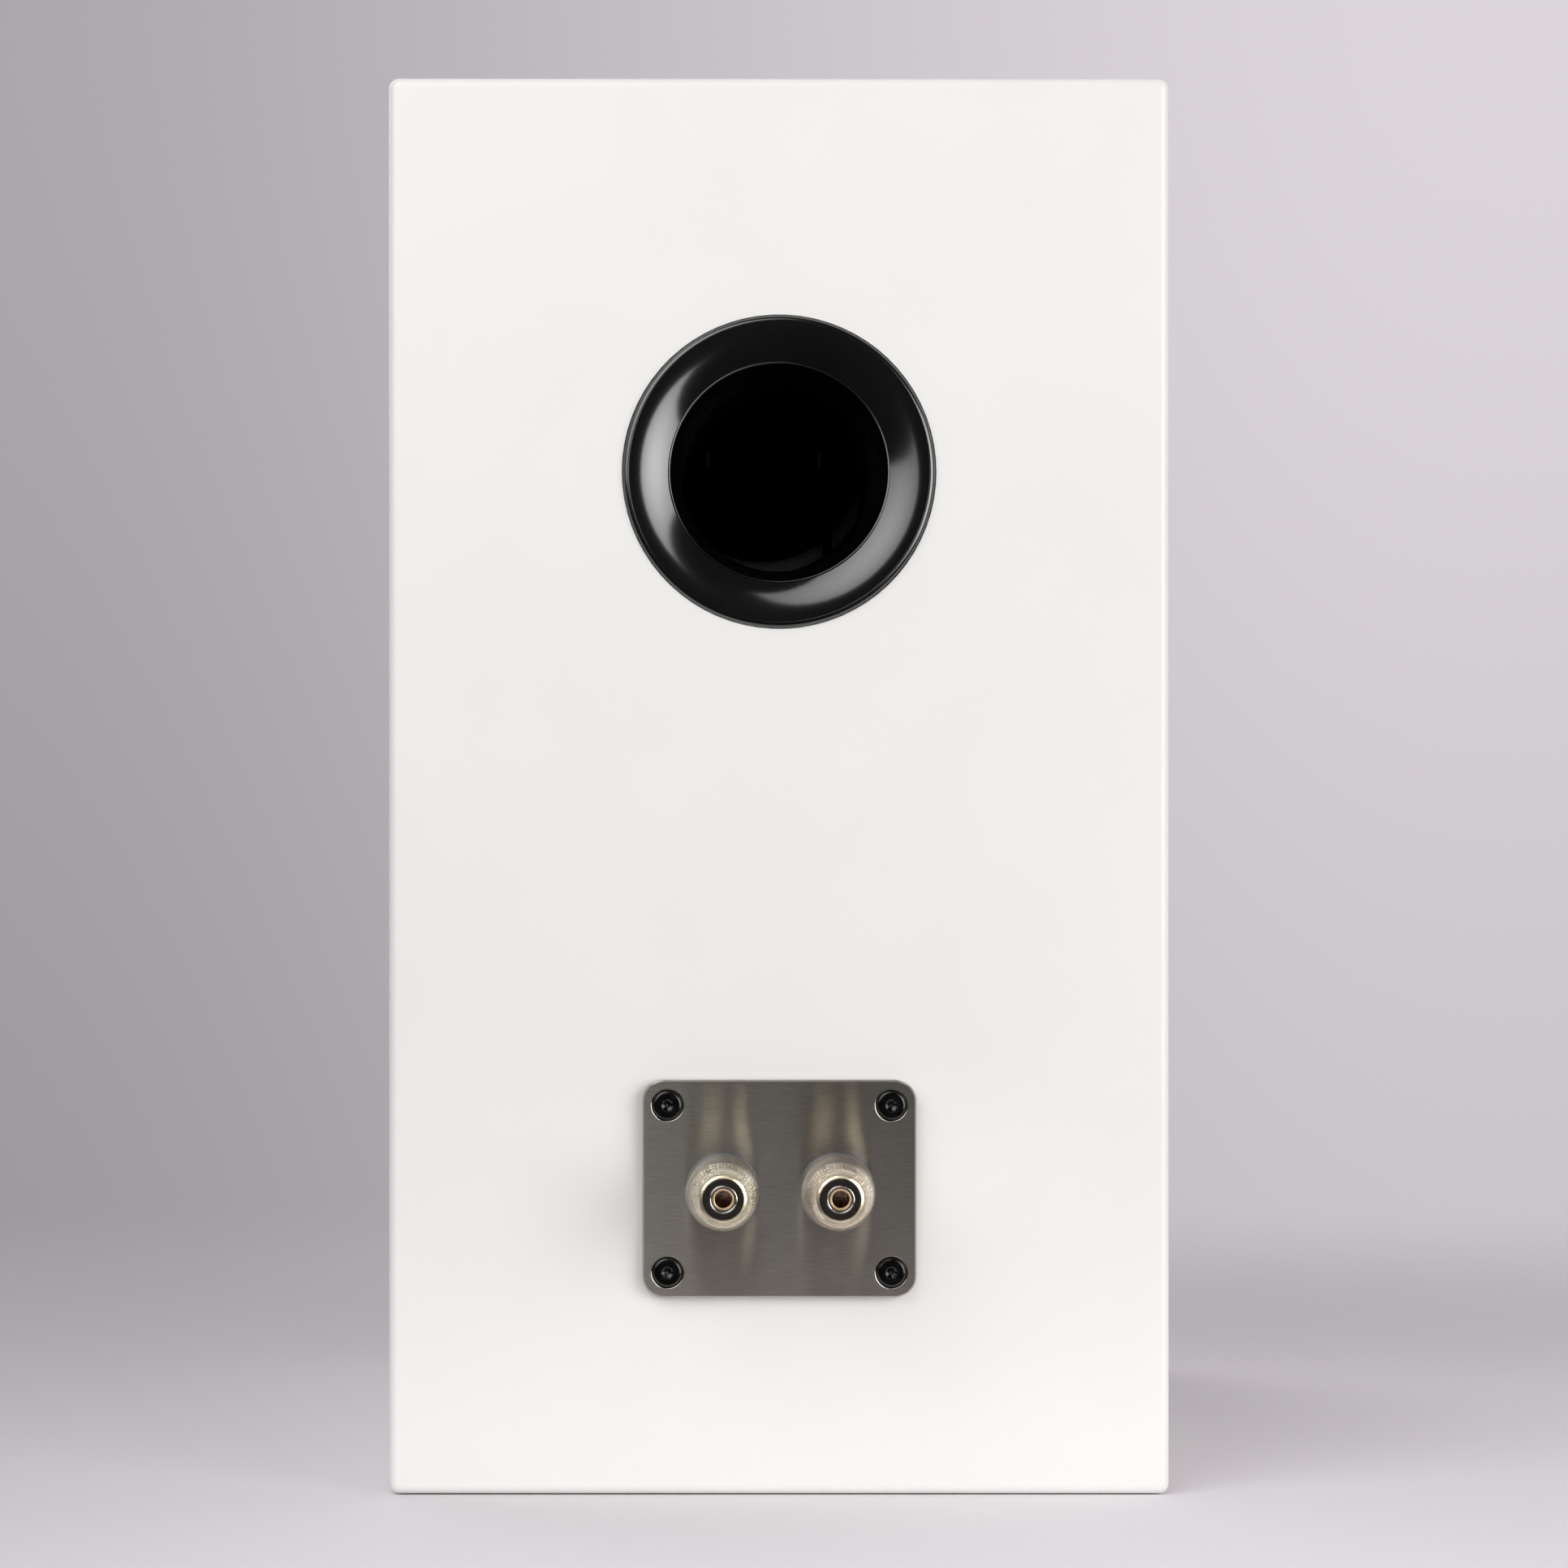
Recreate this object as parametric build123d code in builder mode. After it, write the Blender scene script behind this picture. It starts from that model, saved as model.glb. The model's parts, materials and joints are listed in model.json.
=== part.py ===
from build123d import *
from math import cos, pi, radians, sin, sqrt
import os

os.makedirs("parts", exist_ok=True)

# Millimetres. The front faces -Y, the back +Y, and the base stands on Z = 0.
# Cabinet
CABINET_WIDTH = 200.0
CABINET_DEPTH = 280.0
CABINET_HEIGHT = 363.0
WALL = 18.0
BAFFLE = 22.0
CORNER_R = 2.6
EDGE_R = 2.2
BRACE_THICKNESS = 15.0
BRACE_Y = -24.0
BRACE_FRAME = 32.0
BRACE_WINDOW_R = 14.0
GROOVE_DEPTH = 4.0
PAD_THICKNESS = 12.0
PAD_EDGE_R = 4.0
PAD_GAP = 8.0
PAD_MARGIN = 16.0
PAD_FOOT = 90.0

# Fits
GLUE_GAP = 0.1
FIT_GAP = 0.05
THREAD_GAP = 0.08
MOULDED_GAP = 0.12
DROP_IN_GAP = 0.3

# Screws and their inserts
SCREW_R = 2.0
SCREW_LENGTH = 16.0
HEAD_R = 3.8
HEAD_HEIGHT = 2.2
HEAD_SHOULDER_R = 0.8
SOCKET_FLATS = 3.0
SOCKET_DEPTH = 1.1
SOCKET_POINT = 0.9
SOCKET_MOUTH = 0.3
HEAD_POCKET_R = 3.92
INSERT_R = 3.0
INSERT_LENGTH = 12.0
INSERT_SINK = 0.4
PILOT_DEPTH = 14.4

# Reflex port
PORT_FROM_TOP = 101.0
PORT_THROAT_R = 25.0
PORT_RIM_R = 40.0
PORT_BEAD = 1.3
PORT_STEP = 0.4
PORT_MOUTH_R = 38.5
PORT_FLARE_R = 19.6
PORT_THROAT_DEPTH = 13.5
PORT_LIP = 0.5
PORT_LIP_INSET = 3.4
PORT_FLANGE_SEAT = 2.0
PORT_LEDGE = 3.7
PORT_WALL = 2.5
PORT_THROAT_LENGTH = 5.0
PORT_SOCKET = 16.0
PORT_LENGTH = 128.0

# Terminal plate
TERMINAL_Z = 78.6
PLATE_WIDTH = 70.0
PLATE_HEIGHT = 55.5
PLATE_THICKNESS = 3.0
PLATE_CORNER_R = 5.5
PLATE_EDGE = 0.4
PLATE_SCREW_INSET = 6.4
PLATE_POCKET = 1.6
POCKET_EDGE_R = 0.35
PLATE_SEAL = 0.8
PLATE_SEAL_INSET = 1.0
CUTOUT_WIDTH = 58.0
CUTOUT_HEIGHT = 30.0

# Binding posts, measured outwards from the face of the plate
POST_SPACING = 29.2
STUD_R = 4.0
STUD_TAIL = 14.0
FLANGE_R = 9.5
FLANGE_HEIGHT = 4.5
FLANGE_EDGE_R = 0.9
SPIGOT_R = 6.0
COLLAR_R = 7.5
COLLAR_HEIGHT = 1.5
WASHER_HEIGHT = 1.2
WASHER_R = 7.4
NUT_TRAVEL = 8.0
NUT_STOP_GAP = 0.5
NUT_SETBACK = 1.0
NUT_R = 6.4
NUT_FLANGE_R = 7.7
NUT_FLANGE_HEIGHT = 2.5
NUT_FLUTES = 24
NUT_FLUTE_R = 0.45
SLEEVE_R = 9.45
SLEEVE_FOOT_R = 9.0
SLEEVE_NOSE_R = 7.2
SLEEVE_CHEEK_R = 8.77
SLEEVE_BELLY = 6.4
POST_TIP = 31.2
NECK_R = 3.55
NECK_ROUND = 0.4
END_RING_R = 5.05
END_RING_LENGTH = 3.5
END_RING_EDGE_R = 0.25
BANANA_R = 2.1
BANANA_WALL = 0.65
BANANA_EDGE_R = 0.22
BANANA_DEPTH = 20.0
BANANA_SLOT = 0.5
BANANA_RIM = 1.2
BANANA_CUT = 12.0
BANANA_TURNS = (0, 45, 90, 135)
MOUTH_R = 3.08
MOUTH_DEPTH = 2.0
BUSH_R = 8.5
BUSH_HEIGHT = 2.0
TAG_THICKNESS = 0.8
TAG_R = 6.6
TAG_LENGTH = 12.0
TAG_WIDTH = 5.0
LOCK_NUT_FLATS = 13.0
LOCK_NUT_HEIGHT = 4.0

# Woofer, depths measured back from the front face
WOOFER_R = 83.0
WOOFER_FLANGE = 5.0
WOOFER_SEAL = 1.0
WOOFER_SKIRT_R = 72.3
WOOFER_SCREW_R = 78.0
WOOFER_SCREWS = 6
SURROUND_SEAT = 2.5
SURROUND_THICKNESS = 0.8
ROLL_CENTRE_R = 59.0
ROLL_R = 6.0
LIP = 6.0
BASKET_WALL = 3.8
BASKET_DEPTH = 48.0
BASKET_SKIRT = 14.0
BASKET_FLOOR = 4.0
BASKET_NECK = 3.0
BASKET_BORE_R = 24.0
BASKET_FOOT_R = 56.0
WINDOW_MARGIN = 2.0
BASKET_SPOKES = 6
SPOKE_ANGLE = 16.0
CONE_RIM_R = 52.0
CONE_FLAT = 4.0
CONE_THICKNESS = 0.8
CONE_DROP = 23.4
CONE_BOW = 2.0
DUST_CAP_R = 19.5
DUST_CAP_RISE = 7.0
DUST_CAP_THICKNESS = 0.6
FORMER_R = 12.9
FORMER_WALL = 0.2
FORMER_END = 62.0
COIL_THICKNESS = 0.55
COIL_LENGTH = 12.0
SPIDER_SEAT = 33.2
SPIDER_THICKNESS = 0.6
SPIDER_WAVE = 1.4
SPIDER_WAVES = 4
SPIDER_HUB = 4.0
SPIDER_HEM = 1.0
MOTOR_R = 50.0
MOTOR_PLATE_R = 44.0
MOTOR_PLATE = 6.0
MAGNET_HEIGHT = 15.0
MAGNET_BORE_R = 20.0
POLE_R = 12.2
VENT_R = 4.0
AIR_GAP = 0.4

# Tweeter, depths measured back from the front face
DRIVER_GAP = 8.0
TWEETER_FROM_TOP = 82.0
TWEETER_R = 52.0
TWEETER_FLANGE = 4.0
TWEETER_SEAL = 1.0
TWEETER_SCREW_R = 45.0
TWEETER_SCREWS = 4
TWEETER_HOLE_R = 38.0
TWEETER_BOSS_R = 36.0
TWEETER_BOSS = 6.0
WAVEGUIDE_R = 34.0
WAVEGUIDE_DEPTH = 3.2
WAVEGUIDE_MID = 1.2
FACE_LIP = 1.4
THROAT_R = 16.8
DOME_R = 12.9
DOME_RISE = 4.8
DOME_EDGE = 5.7
DOME_THICKNESS = 0.4
DOME_ROLL_R = 1.4
DOME_CLAMP_R = 19.8
TWEETER_COIL_LENGTH = 3.7
TWEETER_COIL_WALL = 0.5
TWEETER_PLATE_R = 34.0
TWEETER_PLATE = 3.0
TWEETER_MAGNET_HEIGHT = 10.0
TWEETER_MAGNET_BORE_R = 18.0
TWEETER_BACK = 4.0
CHAMBER_R = 30.0
CHAMBER_LENGTH = 19.0
CHAMBER_WALL = 2.0

# Crossover and wiring
BOARD_WIDTH = 120.0
BOARD_DEPTH = 96.0
BOARD_THICKNESS = 5.0
BOARD_REAR_GAP = 12.0
BOARD_SCREW_INSET = 6.0
INDUCTOR_R = 22.0
INDUCTOR_BORE_R = 9.0
INDUCTOR_HEIGHT = 16.0
INDUCTOR_EDGE_R = 2.6
INDUCTOR_SPACING = 68.0
CAPACITOR_R = 9.0
CAPACITOR_LENGTH = 44.0
CAPACITOR_EDGE_R = 1.5
CAPACITOR_GAP = 10.0
RESISTOR_SIDE = 8.0
RESISTOR_LENGTH = 40.0
WIRE_LANDING = 12.0
WIRE_R = 1.4
WIRE_BEND = 7.0
TIGHT_BEND = 3.5
WIRE_LOOP = 27.0
WIRE_END_GAP = 3.0
TINSEL_R = 0.6
TINSEL_BEND = 4.0
TAB_WIDTH = 5.0
TAB_THICKNESS = 0.8
TAB_LENGTH = 9.0
TAB_OVERLAP = 5.0
TAB_DROP = 17.0
TINSEL_RISE = 3.0
WOOFER_LEAD_X = 8.0
TWEETER_LEAD_X = 17.0

# Positions that follow from the sizes
FRONT_Y = -CABINET_DEPTH / 2
REAR_Y = CABINET_DEPTH / 2
INNER_FRONT_Y = FRONT_Y + BAFFLE
INNER_REAR_Y = REAR_Y - WALL
INNER_DEPTH = INNER_REAR_Y - INNER_FRONT_Y
INNER_WIDTH = CABINET_WIDTH - 2 * WALL
INNER_HEIGHT = CABINET_HEIGHT - 2 * WALL
MID_Z = CABINET_HEIGHT / 2
PORT_Z = CABINET_HEIGHT - PORT_FROM_TOP
TWEETER_Z = CABINET_HEIGHT - TWEETER_FROM_TOP
WOOFER_Z = TWEETER_Z - TWEETER_R - DRIVER_GAP - WOOFER_R
PLATE_BACK_Y = REAR_Y + PLATE_SEAL
PLATE_Y = PLATE_BACK_Y + PLATE_THICKNESS
POSITIVE_X = -POST_SPACING / 2
NEGATIVE_X = POST_SPACING / 2
POSTS = (POSITIVE_X, NEGATIVE_X)
COLLAR_Y = PLATE_Y + FLANGE_HEIGHT
WASHER_Y = COLLAR_Y + COLLAR_HEIGHT
NUT_Y = WASHER_Y + WASHER_HEIGHT
TIP_Y = PLATE_Y + POST_TIP
NECK_Y = TIP_Y - END_RING_LENGTH
NUT_SHOULDER_Y = NECK_Y - NUT_TRAVEL - NUT_STOP_GAP
NUT_END_Y = TIP_Y - NUT_SETBACK
BUSH_Y = PLATE_BACK_Y - BUSH_HEIGHT
TAG_Y = BUSH_Y - TAG_THICKNESS
WOOFER_REBATE = WOOFER_FLANGE + WOOFER_SEAL
TWEETER_REBATE = TWEETER_FLANGE + TWEETER_SEAL
WOOFER_HOLE_R = WOOFER_SKIRT_R + DROP_IN_GAP
CONE_FLAT_R = CONE_RIM_R - CONE_FLAT
BOARD_Y = INNER_REAR_Y - BOARD_REAR_GAP - BOARD_DEPTH / 2
BOARD_TOP_Z = WALL + BOARD_THICKNESS


def front(depth):
    """The y of a point this far behind the front face."""
    return FRONT_Y + depth


def upright(y, x=0.0, z=0.0):
    """A plane across the cabinet at y, x to the right and z up, that extrudes towards the front."""
    return Plane(origin=(x, y, z), x_dir=(1, 0, 0), z_dir=(0, -1, 0))


def lathe_plane(x, z, turn=0.0):
    """A plane through a fore-and-aft axis: the radius first, then y."""
    across = (cos(radians(turn)), 0, sin(radians(turn)))
    normal = (-sin(radians(turn)), 0, cos(radians(turn)))
    return Plane(origin=(x, 0, z), x_dir=across, z_dir=normal)


def lathe_axis(x, z):
    return Axis((x, 0, z), (0, 1, 0))


def ring(x, z, inner, outer, y_front, y_rear):
    """A plain ring round a fore-and-aft axis."""
    with BuildPart() as piece:
        with BuildSketch(upright(y_rear, x, z)):
            Circle(outer)
            Circle(inner, mode=Mode.SUBTRACT)
        extrude(amount=y_rear - y_front)
    return piece


def save(piece, name):
    piece.part.label = name
    export_step(piece.part, f"parts/{name}.step")


def cone_depth(radius):
    """How far the front of the cone lies behind the front face at a radius."""
    share = (CONE_FLAT_R - radius) / (CONE_FLAT_R - FORMER_R - GLUE_GAP)
    return SURROUND_SEAT + CONE_DROP * share - 4 * CONE_BOW * share * (1 - share)


def dome_shell(z, radius, rise, thickness, edge_depth):
    """A thin cap of a sphere, its edge at a depth and its crest towards the front."""
    outer = (radius ** 2 + rise ** 2) / (2 * rise)
    inner = outer - thickness
    edge_in = (inner ** 2 - (outer - rise) ** 2) ** 0.5
    crest = edge_depth - rise
    centre = crest + outer

    def on_sphere(sphere, r):
        return (r, front(centre - (sphere ** 2 - r ** 2) ** 0.5))

    with BuildPart() as piece:
        with BuildSketch(lathe_plane(0, z)):
            with BuildLine():
                ThreePointArc(on_sphere(outer, 0), on_sphere(outer, radius / 2), on_sphere(outer, radius))
                Line(on_sphere(outer, radius), on_sphere(inner, edge_in))
                ThreePointArc(on_sphere(inner, edge_in), on_sphere(inner, edge_in / 2), on_sphere(inner, 0))
                Line(on_sphere(inner, 0), on_sphere(outer, 0))
            make_face()
        revolve(axis=lathe_axis(0, z))
    return piece


# Where each screw enters a panel. Every plane lies on the panel and faces out of it.
plate_screw_x = PLATE_WIDTH / 2 - PLATE_SCREW_INSET
plate_screw_z = PLATE_HEIGHT / 2 - PLATE_SCREW_INSET
plate_points = [
    Plane(origin=(sx * plate_screw_x, REAR_Y, TERMINAL_Z + sz * plate_screw_z), z_dir=(0, 1, 0))
    for sx in (-1, 1)
    for sz in (-1, 1)
]


def circle_of_points(z, radius, count, y):
    """Screw points evenly round a driver, the first half a step from the top."""
    turns = [pi / 2 + 2 * pi * (i + 0.5) / count for i in range(count)]
    return [
        Plane(origin=(radius * cos(t), y, z + radius * sin(t)), z_dir=(0, -1, 0)) for t in turns
    ]


woofer_points = circle_of_points(WOOFER_Z, WOOFER_SCREW_R, WOOFER_SCREWS, front(WOOFER_REBATE))
tweeter_points = circle_of_points(TWEETER_Z, TWEETER_SCREW_R, TWEETER_SCREWS, front(TWEETER_REBATE))
board_points = [
    Plane(
        origin=(
            sx * (BOARD_WIDTH / 2 - BOARD_SCREW_INSET),
            BOARD_Y + sy * (BOARD_DEPTH / 2 - BOARD_SCREW_INSET),
            WALL,
        ),
        z_dir=(0, 0, 1),
    )
    for sx in (-1, 1)
    for sy in (-1, 1)
]

# Rear panel: covers the whole back, holed for the port and the terminals
with BuildPart() as rear_panel:
    with BuildSketch(upright(REAR_Y, 0, MID_Z)):
        RectangleRounded(CABINET_WIDTH, CABINET_HEIGHT, CORNER_R)
    extrude(amount=WALL)
    fillet(rear_panel.faces().sort_by(Axis.Y)[-1].edges(), EDGE_R)
    with BuildSketch(upright(REAR_Y, 0, PORT_Z)):
        Circle(PORT_RIM_R - PORT_LEDGE)
    extrude(amount=WALL, mode=Mode.SUBTRACT)
    with BuildSketch(upright(REAR_Y, 0, PORT_Z)):
        Circle(PORT_RIM_R + DROP_IN_GAP)
    extrude(amount=PORT_FLANGE_SEAT, mode=Mode.SUBTRACT)
    with BuildSketch(upright(REAR_Y, 0, TERMINAL_Z)):
        SlotOverall(CUTOUT_WIDTH, CUTOUT_HEIGHT)
    extrude(amount=WALL, mode=Mode.SUBTRACT)
    with Locations(*plate_points):
        Hole(INSERT_R + FIT_GAP, depth=PILOT_DEPTH)
save(rear_panel, "rear_panel")

# Front baffle: covers the whole front, rebated so both drivers sit flush
with BuildPart() as front_baffle:
    with BuildSketch(upright(INNER_FRONT_Y, 0, MID_Z)):
        RectangleRounded(CABINET_WIDTH, CABINET_HEIGHT, CORNER_R)
    extrude(amount=BAFFLE)
    fillet(front_baffle.faces().sort_by(Axis.Y)[0].edges(), EDGE_R)
    with BuildSketch(upright(front(WOOFER_REBATE), 0, WOOFER_Z)):
        Circle(WOOFER_R + DROP_IN_GAP)
    extrude(amount=WOOFER_REBATE, mode=Mode.SUBTRACT)
    with BuildSketch(upright(INNER_FRONT_Y, 0, WOOFER_Z)):
        Circle(WOOFER_HOLE_R)
    extrude(amount=BAFFLE, mode=Mode.SUBTRACT)
    with BuildSketch(upright(front(TWEETER_REBATE), 0, TWEETER_Z)):
        Circle(TWEETER_R + DROP_IN_GAP)
    extrude(amount=TWEETER_REBATE, mode=Mode.SUBTRACT)
    with BuildSketch(upright(INNER_FRONT_Y, 0, TWEETER_Z)):
        Circle(TWEETER_HOLE_R)
    extrude(amount=BAFFLE, mode=Mode.SUBTRACT)
    with Locations(*woofer_points, *tweeter_points):
        Hole(INSERT_R + FIT_GAP, depth=PILOT_DEPTH)
save(front_baffle, "front_baffle")

# Top and bottom panels: full width, each grooved for the brace
with BuildPart() as top_panel:
    with BuildSketch(upright(INNER_REAR_Y, 0, CABINET_HEIGHT - WALL / 2)):
        Rectangle(CABINET_WIDTH, WALL)
    extrude(amount=INNER_DEPTH)
    fillet(top_panel.edges().filter_by(Axis.Y).group_by(Axis.Z)[-1], CORNER_R)
    with BuildSketch(Plane.XY.offset(CABINET_HEIGHT - WALL)):
        with Locations((0, BRACE_Y)):
            Rectangle(INNER_WIDTH + 2 * GROOVE_DEPTH, BRACE_THICKNESS + 2 * GLUE_GAP)
    extrude(amount=GROOVE_DEPTH, mode=Mode.SUBTRACT)
save(top_panel, "top_panel")

with BuildPart() as bottom_panel:
    with BuildSketch(upright(INNER_REAR_Y, 0, WALL / 2)):
        Rectangle(CABINET_WIDTH, WALL)
    extrude(amount=INNER_DEPTH)
    fillet(bottom_panel.edges().filter_by(Axis.Y).group_by(Axis.Z)[0], CORNER_R)
    with BuildSketch(Plane.XY.offset(WALL - GROOVE_DEPTH)):
        with Locations((0, BRACE_Y)):
            Rectangle(INNER_WIDTH + 2 * GROOVE_DEPTH, BRACE_THICKNESS + 2 * GLUE_GAP)
    extrude(amount=GROOVE_DEPTH, mode=Mode.SUBTRACT)
    with Locations(*board_points):
        Hole(INSERT_R + FIT_GAP, depth=PILOT_DEPTH)
save(bottom_panel, "bottom_panel")


def side_panel(side):
    """A side panel between the top and the bottom; side is -1 or 1."""
    with BuildPart() as piece:
        with BuildSketch(upright(INNER_REAR_Y, side * (CABINET_WIDTH - WALL) / 2, MID_Z)):
            Rectangle(WALL, INNER_HEIGHT)
        extrude(amount=INNER_DEPTH)
        groove_x = side * (INNER_WIDTH + GROOVE_DEPTH) / 2
        with BuildSketch(upright(BRACE_Y + BRACE_THICKNESS / 2 + GLUE_GAP, groove_x, MID_Z)):
            Rectangle(GROOVE_DEPTH, INNER_HEIGHT)
        extrude(amount=BRACE_THICKNESS + 2 * GLUE_GAP, mode=Mode.SUBTRACT)
    return piece


save(side_panel(-1), "side_panel_left")
save(side_panel(1), "side_panel_right")

# Window brace: an upright frame let into grooves all round
window_width = INNER_WIDTH - 2 * BRACE_FRAME
window_height = (INNER_HEIGHT - 3 * BRACE_FRAME) / 2
with BuildPart() as window_brace:
    with BuildSketch(upright(BRACE_Y + BRACE_THICKNESS / 2, 0, MID_Z)):
        tongue = 2 * (GROOVE_DEPTH - GLUE_GAP)
        Rectangle(INNER_WIDTH + tongue, INNER_HEIGHT + tongue)
        with GridLocations(0, window_height + BRACE_FRAME, 1, 2):
            RectangleRounded(window_width, window_height, BRACE_WINDOW_R, mode=Mode.SUBTRACT)
    extrude(amount=BRACE_THICKNESS)
save(window_brace, "window_brace")

# Damping pads: one on each side wall behind the brace
pad_depth = INNER_REAR_Y - BRACE_Y - BRACE_THICKNESS / 2 - 2 * PAD_GAP
pad_height = INNER_HEIGHT - PAD_MARGIN - PAD_FOOT
with BuildPart() as damping_pads:
    for side in (-1, 1):
        pad_x = side * (INNER_WIDTH - PAD_THICKNESS) / 2
        pad_z = WALL + PAD_FOOT + pad_height / 2
        with BuildSketch(upright(INNER_REAR_Y - PAD_GAP, pad_x, pad_z)):
            Rectangle(PAD_THICKNESS, pad_height)
        extrude(amount=pad_depth)
    inner_faces = damping_pads.faces().filter_by(Axis.X).sort_by(Axis.X)[1:3]
    fillet(inner_faces.edges(), PAD_EDGE_R)
save(damping_pads, "damping_pads")

# Port flare: a beaded rim, a rounded mouth that ends in a fine lip, a tapered throat and a tube socket
bead_r = PORT_RIM_R - PORT_BEAD
crest_y = REAR_Y + PORT_BEAD
mouth_y = crest_y - PORT_STEP
throat_y = mouth_y - PORT_THROAT_DEPTH
lip_r = PORT_THROAT_R + PORT_LIP_INSET
lip_y = mouth_y - PORT_FLARE_R + sqrt(PORT_FLARE_R ** 2 - (PORT_MOUTH_R - lip_r) ** 2)
lip_crest = (lip_r - PORT_LIP / 2, lip_y + PORT_LIP / 2)
tube_y = throat_y - PORT_THROAT_LENGTH
tube_r = PORT_THROAT_R + PORT_WALL
collar_r = tube_r + PORT_WALL
seat_y = REAR_Y - PORT_FLANGE_SEAT
with BuildPart() as port_flare:
    with BuildSketch(lathe_plane(0, PORT_Z)):
        with BuildLine():
            RadiusArc((PORT_RIM_R, REAR_Y), (bead_r, crest_y), -PORT_BEAD)
            Line((bead_r, crest_y), (PORT_MOUTH_R, crest_y))
            Line((PORT_MOUTH_R, crest_y), (PORT_MOUTH_R, mouth_y))
            RadiusArc((PORT_MOUTH_R, mouth_y), (lip_r, lip_y), -PORT_FLARE_R)
            ThreePointArc((lip_r, lip_y), lip_crest, (lip_r - PORT_LIP, lip_y))
            Polyline(
                (lip_r - PORT_LIP, lip_y),
                (PORT_THROAT_R, throat_y),
                (PORT_THROAT_R, tube_y),
                (tube_r + GLUE_GAP, tube_y),
                (tube_r + GLUE_GAP, tube_y - PORT_SOCKET),
                (collar_r, tube_y - PORT_SOCKET),
                (collar_r, throat_y),
                (PORT_RIM_R - PORT_LEDGE - DROP_IN_GAP, seat_y - PORT_WALL),
                (PORT_RIM_R - PORT_LEDGE - DROP_IN_GAP, seat_y),
                (PORT_RIM_R, seat_y),
                (PORT_RIM_R, REAR_Y),
            )
        make_face()
    revolve(axis=lathe_axis(0, PORT_Z))
save(port_flare, "port_flare")

port_tube = ring(0, PORT_Z, PORT_THROAT_R, tube_r, crest_y - PORT_LENGTH, tube_y)
save(port_tube, "port_tube")

# Terminal plate and its seal
with BuildPart() as terminal_plate:
    with BuildSketch(upright(PLATE_Y, 0, TERMINAL_Z)):
        RectangleRounded(PLATE_WIDTH, PLATE_HEIGHT, PLATE_CORNER_R)
    extrude(amount=PLATE_THICKNESS)
    chamfer(terminal_plate.faces().sort_by(Axis.Y)[-1].edges(), PLATE_EDGE)
    with BuildSketch(*[upright(PLATE_Y, x, TERMINAL_Z) for x in POSTS]):
        Circle(SPIGOT_R + MOULDED_GAP)
    extrude(amount=PLATE_THICKNESS, mode=Mode.SUBTRACT)
    with Locations(*[point.offset(PLATE_SEAL + PLATE_THICKNESS) for point in plate_points]):
        CounterBoreHole(SCREW_R + DROP_IN_GAP, HEAD_POCKET_R, PLATE_POCKET, depth=PLATE_THICKNESS)
    face_rims = terminal_plate.faces().sort_by(Axis.Y)[-1].edges().filter_by(GeomType.CIRCLE)
    fillet(face_rims.filter_by(lambda rim: abs(rim.radius - HEAD_POCKET_R) < FIT_GAP), POCKET_EDGE_R)
save(terminal_plate, "terminal_plate")

with BuildPart() as terminal_gasket:
    with BuildSketch(upright(PLATE_BACK_Y, 0, TERMINAL_Z)):
        RectangleRounded(
            PLATE_WIDTH - 2 * PLATE_SEAL_INSET,
            PLATE_HEIGHT - 2 * PLATE_SEAL_INSET,
            PLATE_CORNER_R - PLATE_SEAL_INSET,
        )
        SlotOverall(CUTOUT_WIDTH, CUTOUT_HEIGHT, mode=Mode.SUBTRACT)
        with GridLocations(2 * plate_screw_x, 2 * plate_screw_z, 2, 2):
            Circle(SCREW_R + DROP_IN_GAP, mode=Mode.SUBTRACT)
    extrude(amount=PLATE_SEAL)
save(terminal_gasket, "terminal_gasket")

# One button-head screw and one threaded insert, repeated on every panel
hanging = (Align.CENTER, Align.CENTER, Align.MAX)
socket_r = SOCKET_FLATS / 2
with BuildPart() as screw:
    with BuildSketch(Plane.XZ):
        with BuildLine():
            Polyline(
                (HEAD_R - HEAD_SHOULDER_R, HEAD_HEIGHT),
                (0, HEAD_HEIGHT),
                (0, -SCREW_LENGTH),
                (SCREW_R, -SCREW_LENGTH),
                (SCREW_R, 0),
                (HEAD_R, 0),
                (HEAD_R, HEAD_HEIGHT - HEAD_SHOULDER_R),
            )
            RadiusArc(
                (HEAD_R, HEAD_HEIGHT - HEAD_SHOULDER_R),
                (HEAD_R - HEAD_SHOULDER_R, HEAD_HEIGHT),
                -HEAD_SHOULDER_R,
            )
        make_face()
    revolve(axis=Axis.Z)
    with BuildSketch(Plane.XY.offset(HEAD_HEIGHT)):
        RegularPolygon(socket_r, 6, major_radius=False)
    extrude(amount=-SOCKET_DEPTH, mode=Mode.SUBTRACT)
    with Locations((0, 0, HEAD_HEIGHT)):
        Cone(socket_r, socket_r + SOCKET_MOUTH, SOCKET_MOUTH, align=hanging, mode=Mode.SUBTRACT)
    with Locations((0, 0, HEAD_HEIGHT - SOCKET_DEPTH)):
        Cone(0, socket_r, SOCKET_POINT, align=hanging, mode=Mode.SUBTRACT)

with BuildPart() as insert:
    with BuildSketch(Plane.XY.offset(-INSERT_SINK)):
        Circle(INSERT_R)
        Circle(SCREW_R + FIT_GAP, mode=Mode.SUBTRACT)
    extrude(amount=-INSERT_LENGTH)

screw_seats = [
    *[point.offset(PLATE_SEAL + PLATE_THICKNESS - PLATE_POCKET) for point in plate_points],
    *[point.offset(WOOFER_REBATE - HEAD_HEIGHT) for point in woofer_points],
    *[point.offset(TWEETER_REBATE - HEAD_HEIGHT) for point in tweeter_points],
    *[point.offset(BOARD_THICKNESS) for point in board_points],
]
with BuildPart() as panel_screws:
    with Locations(*screw_seats):
        add(screw.part)
save(panel_screws, "panel_screws")

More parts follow.
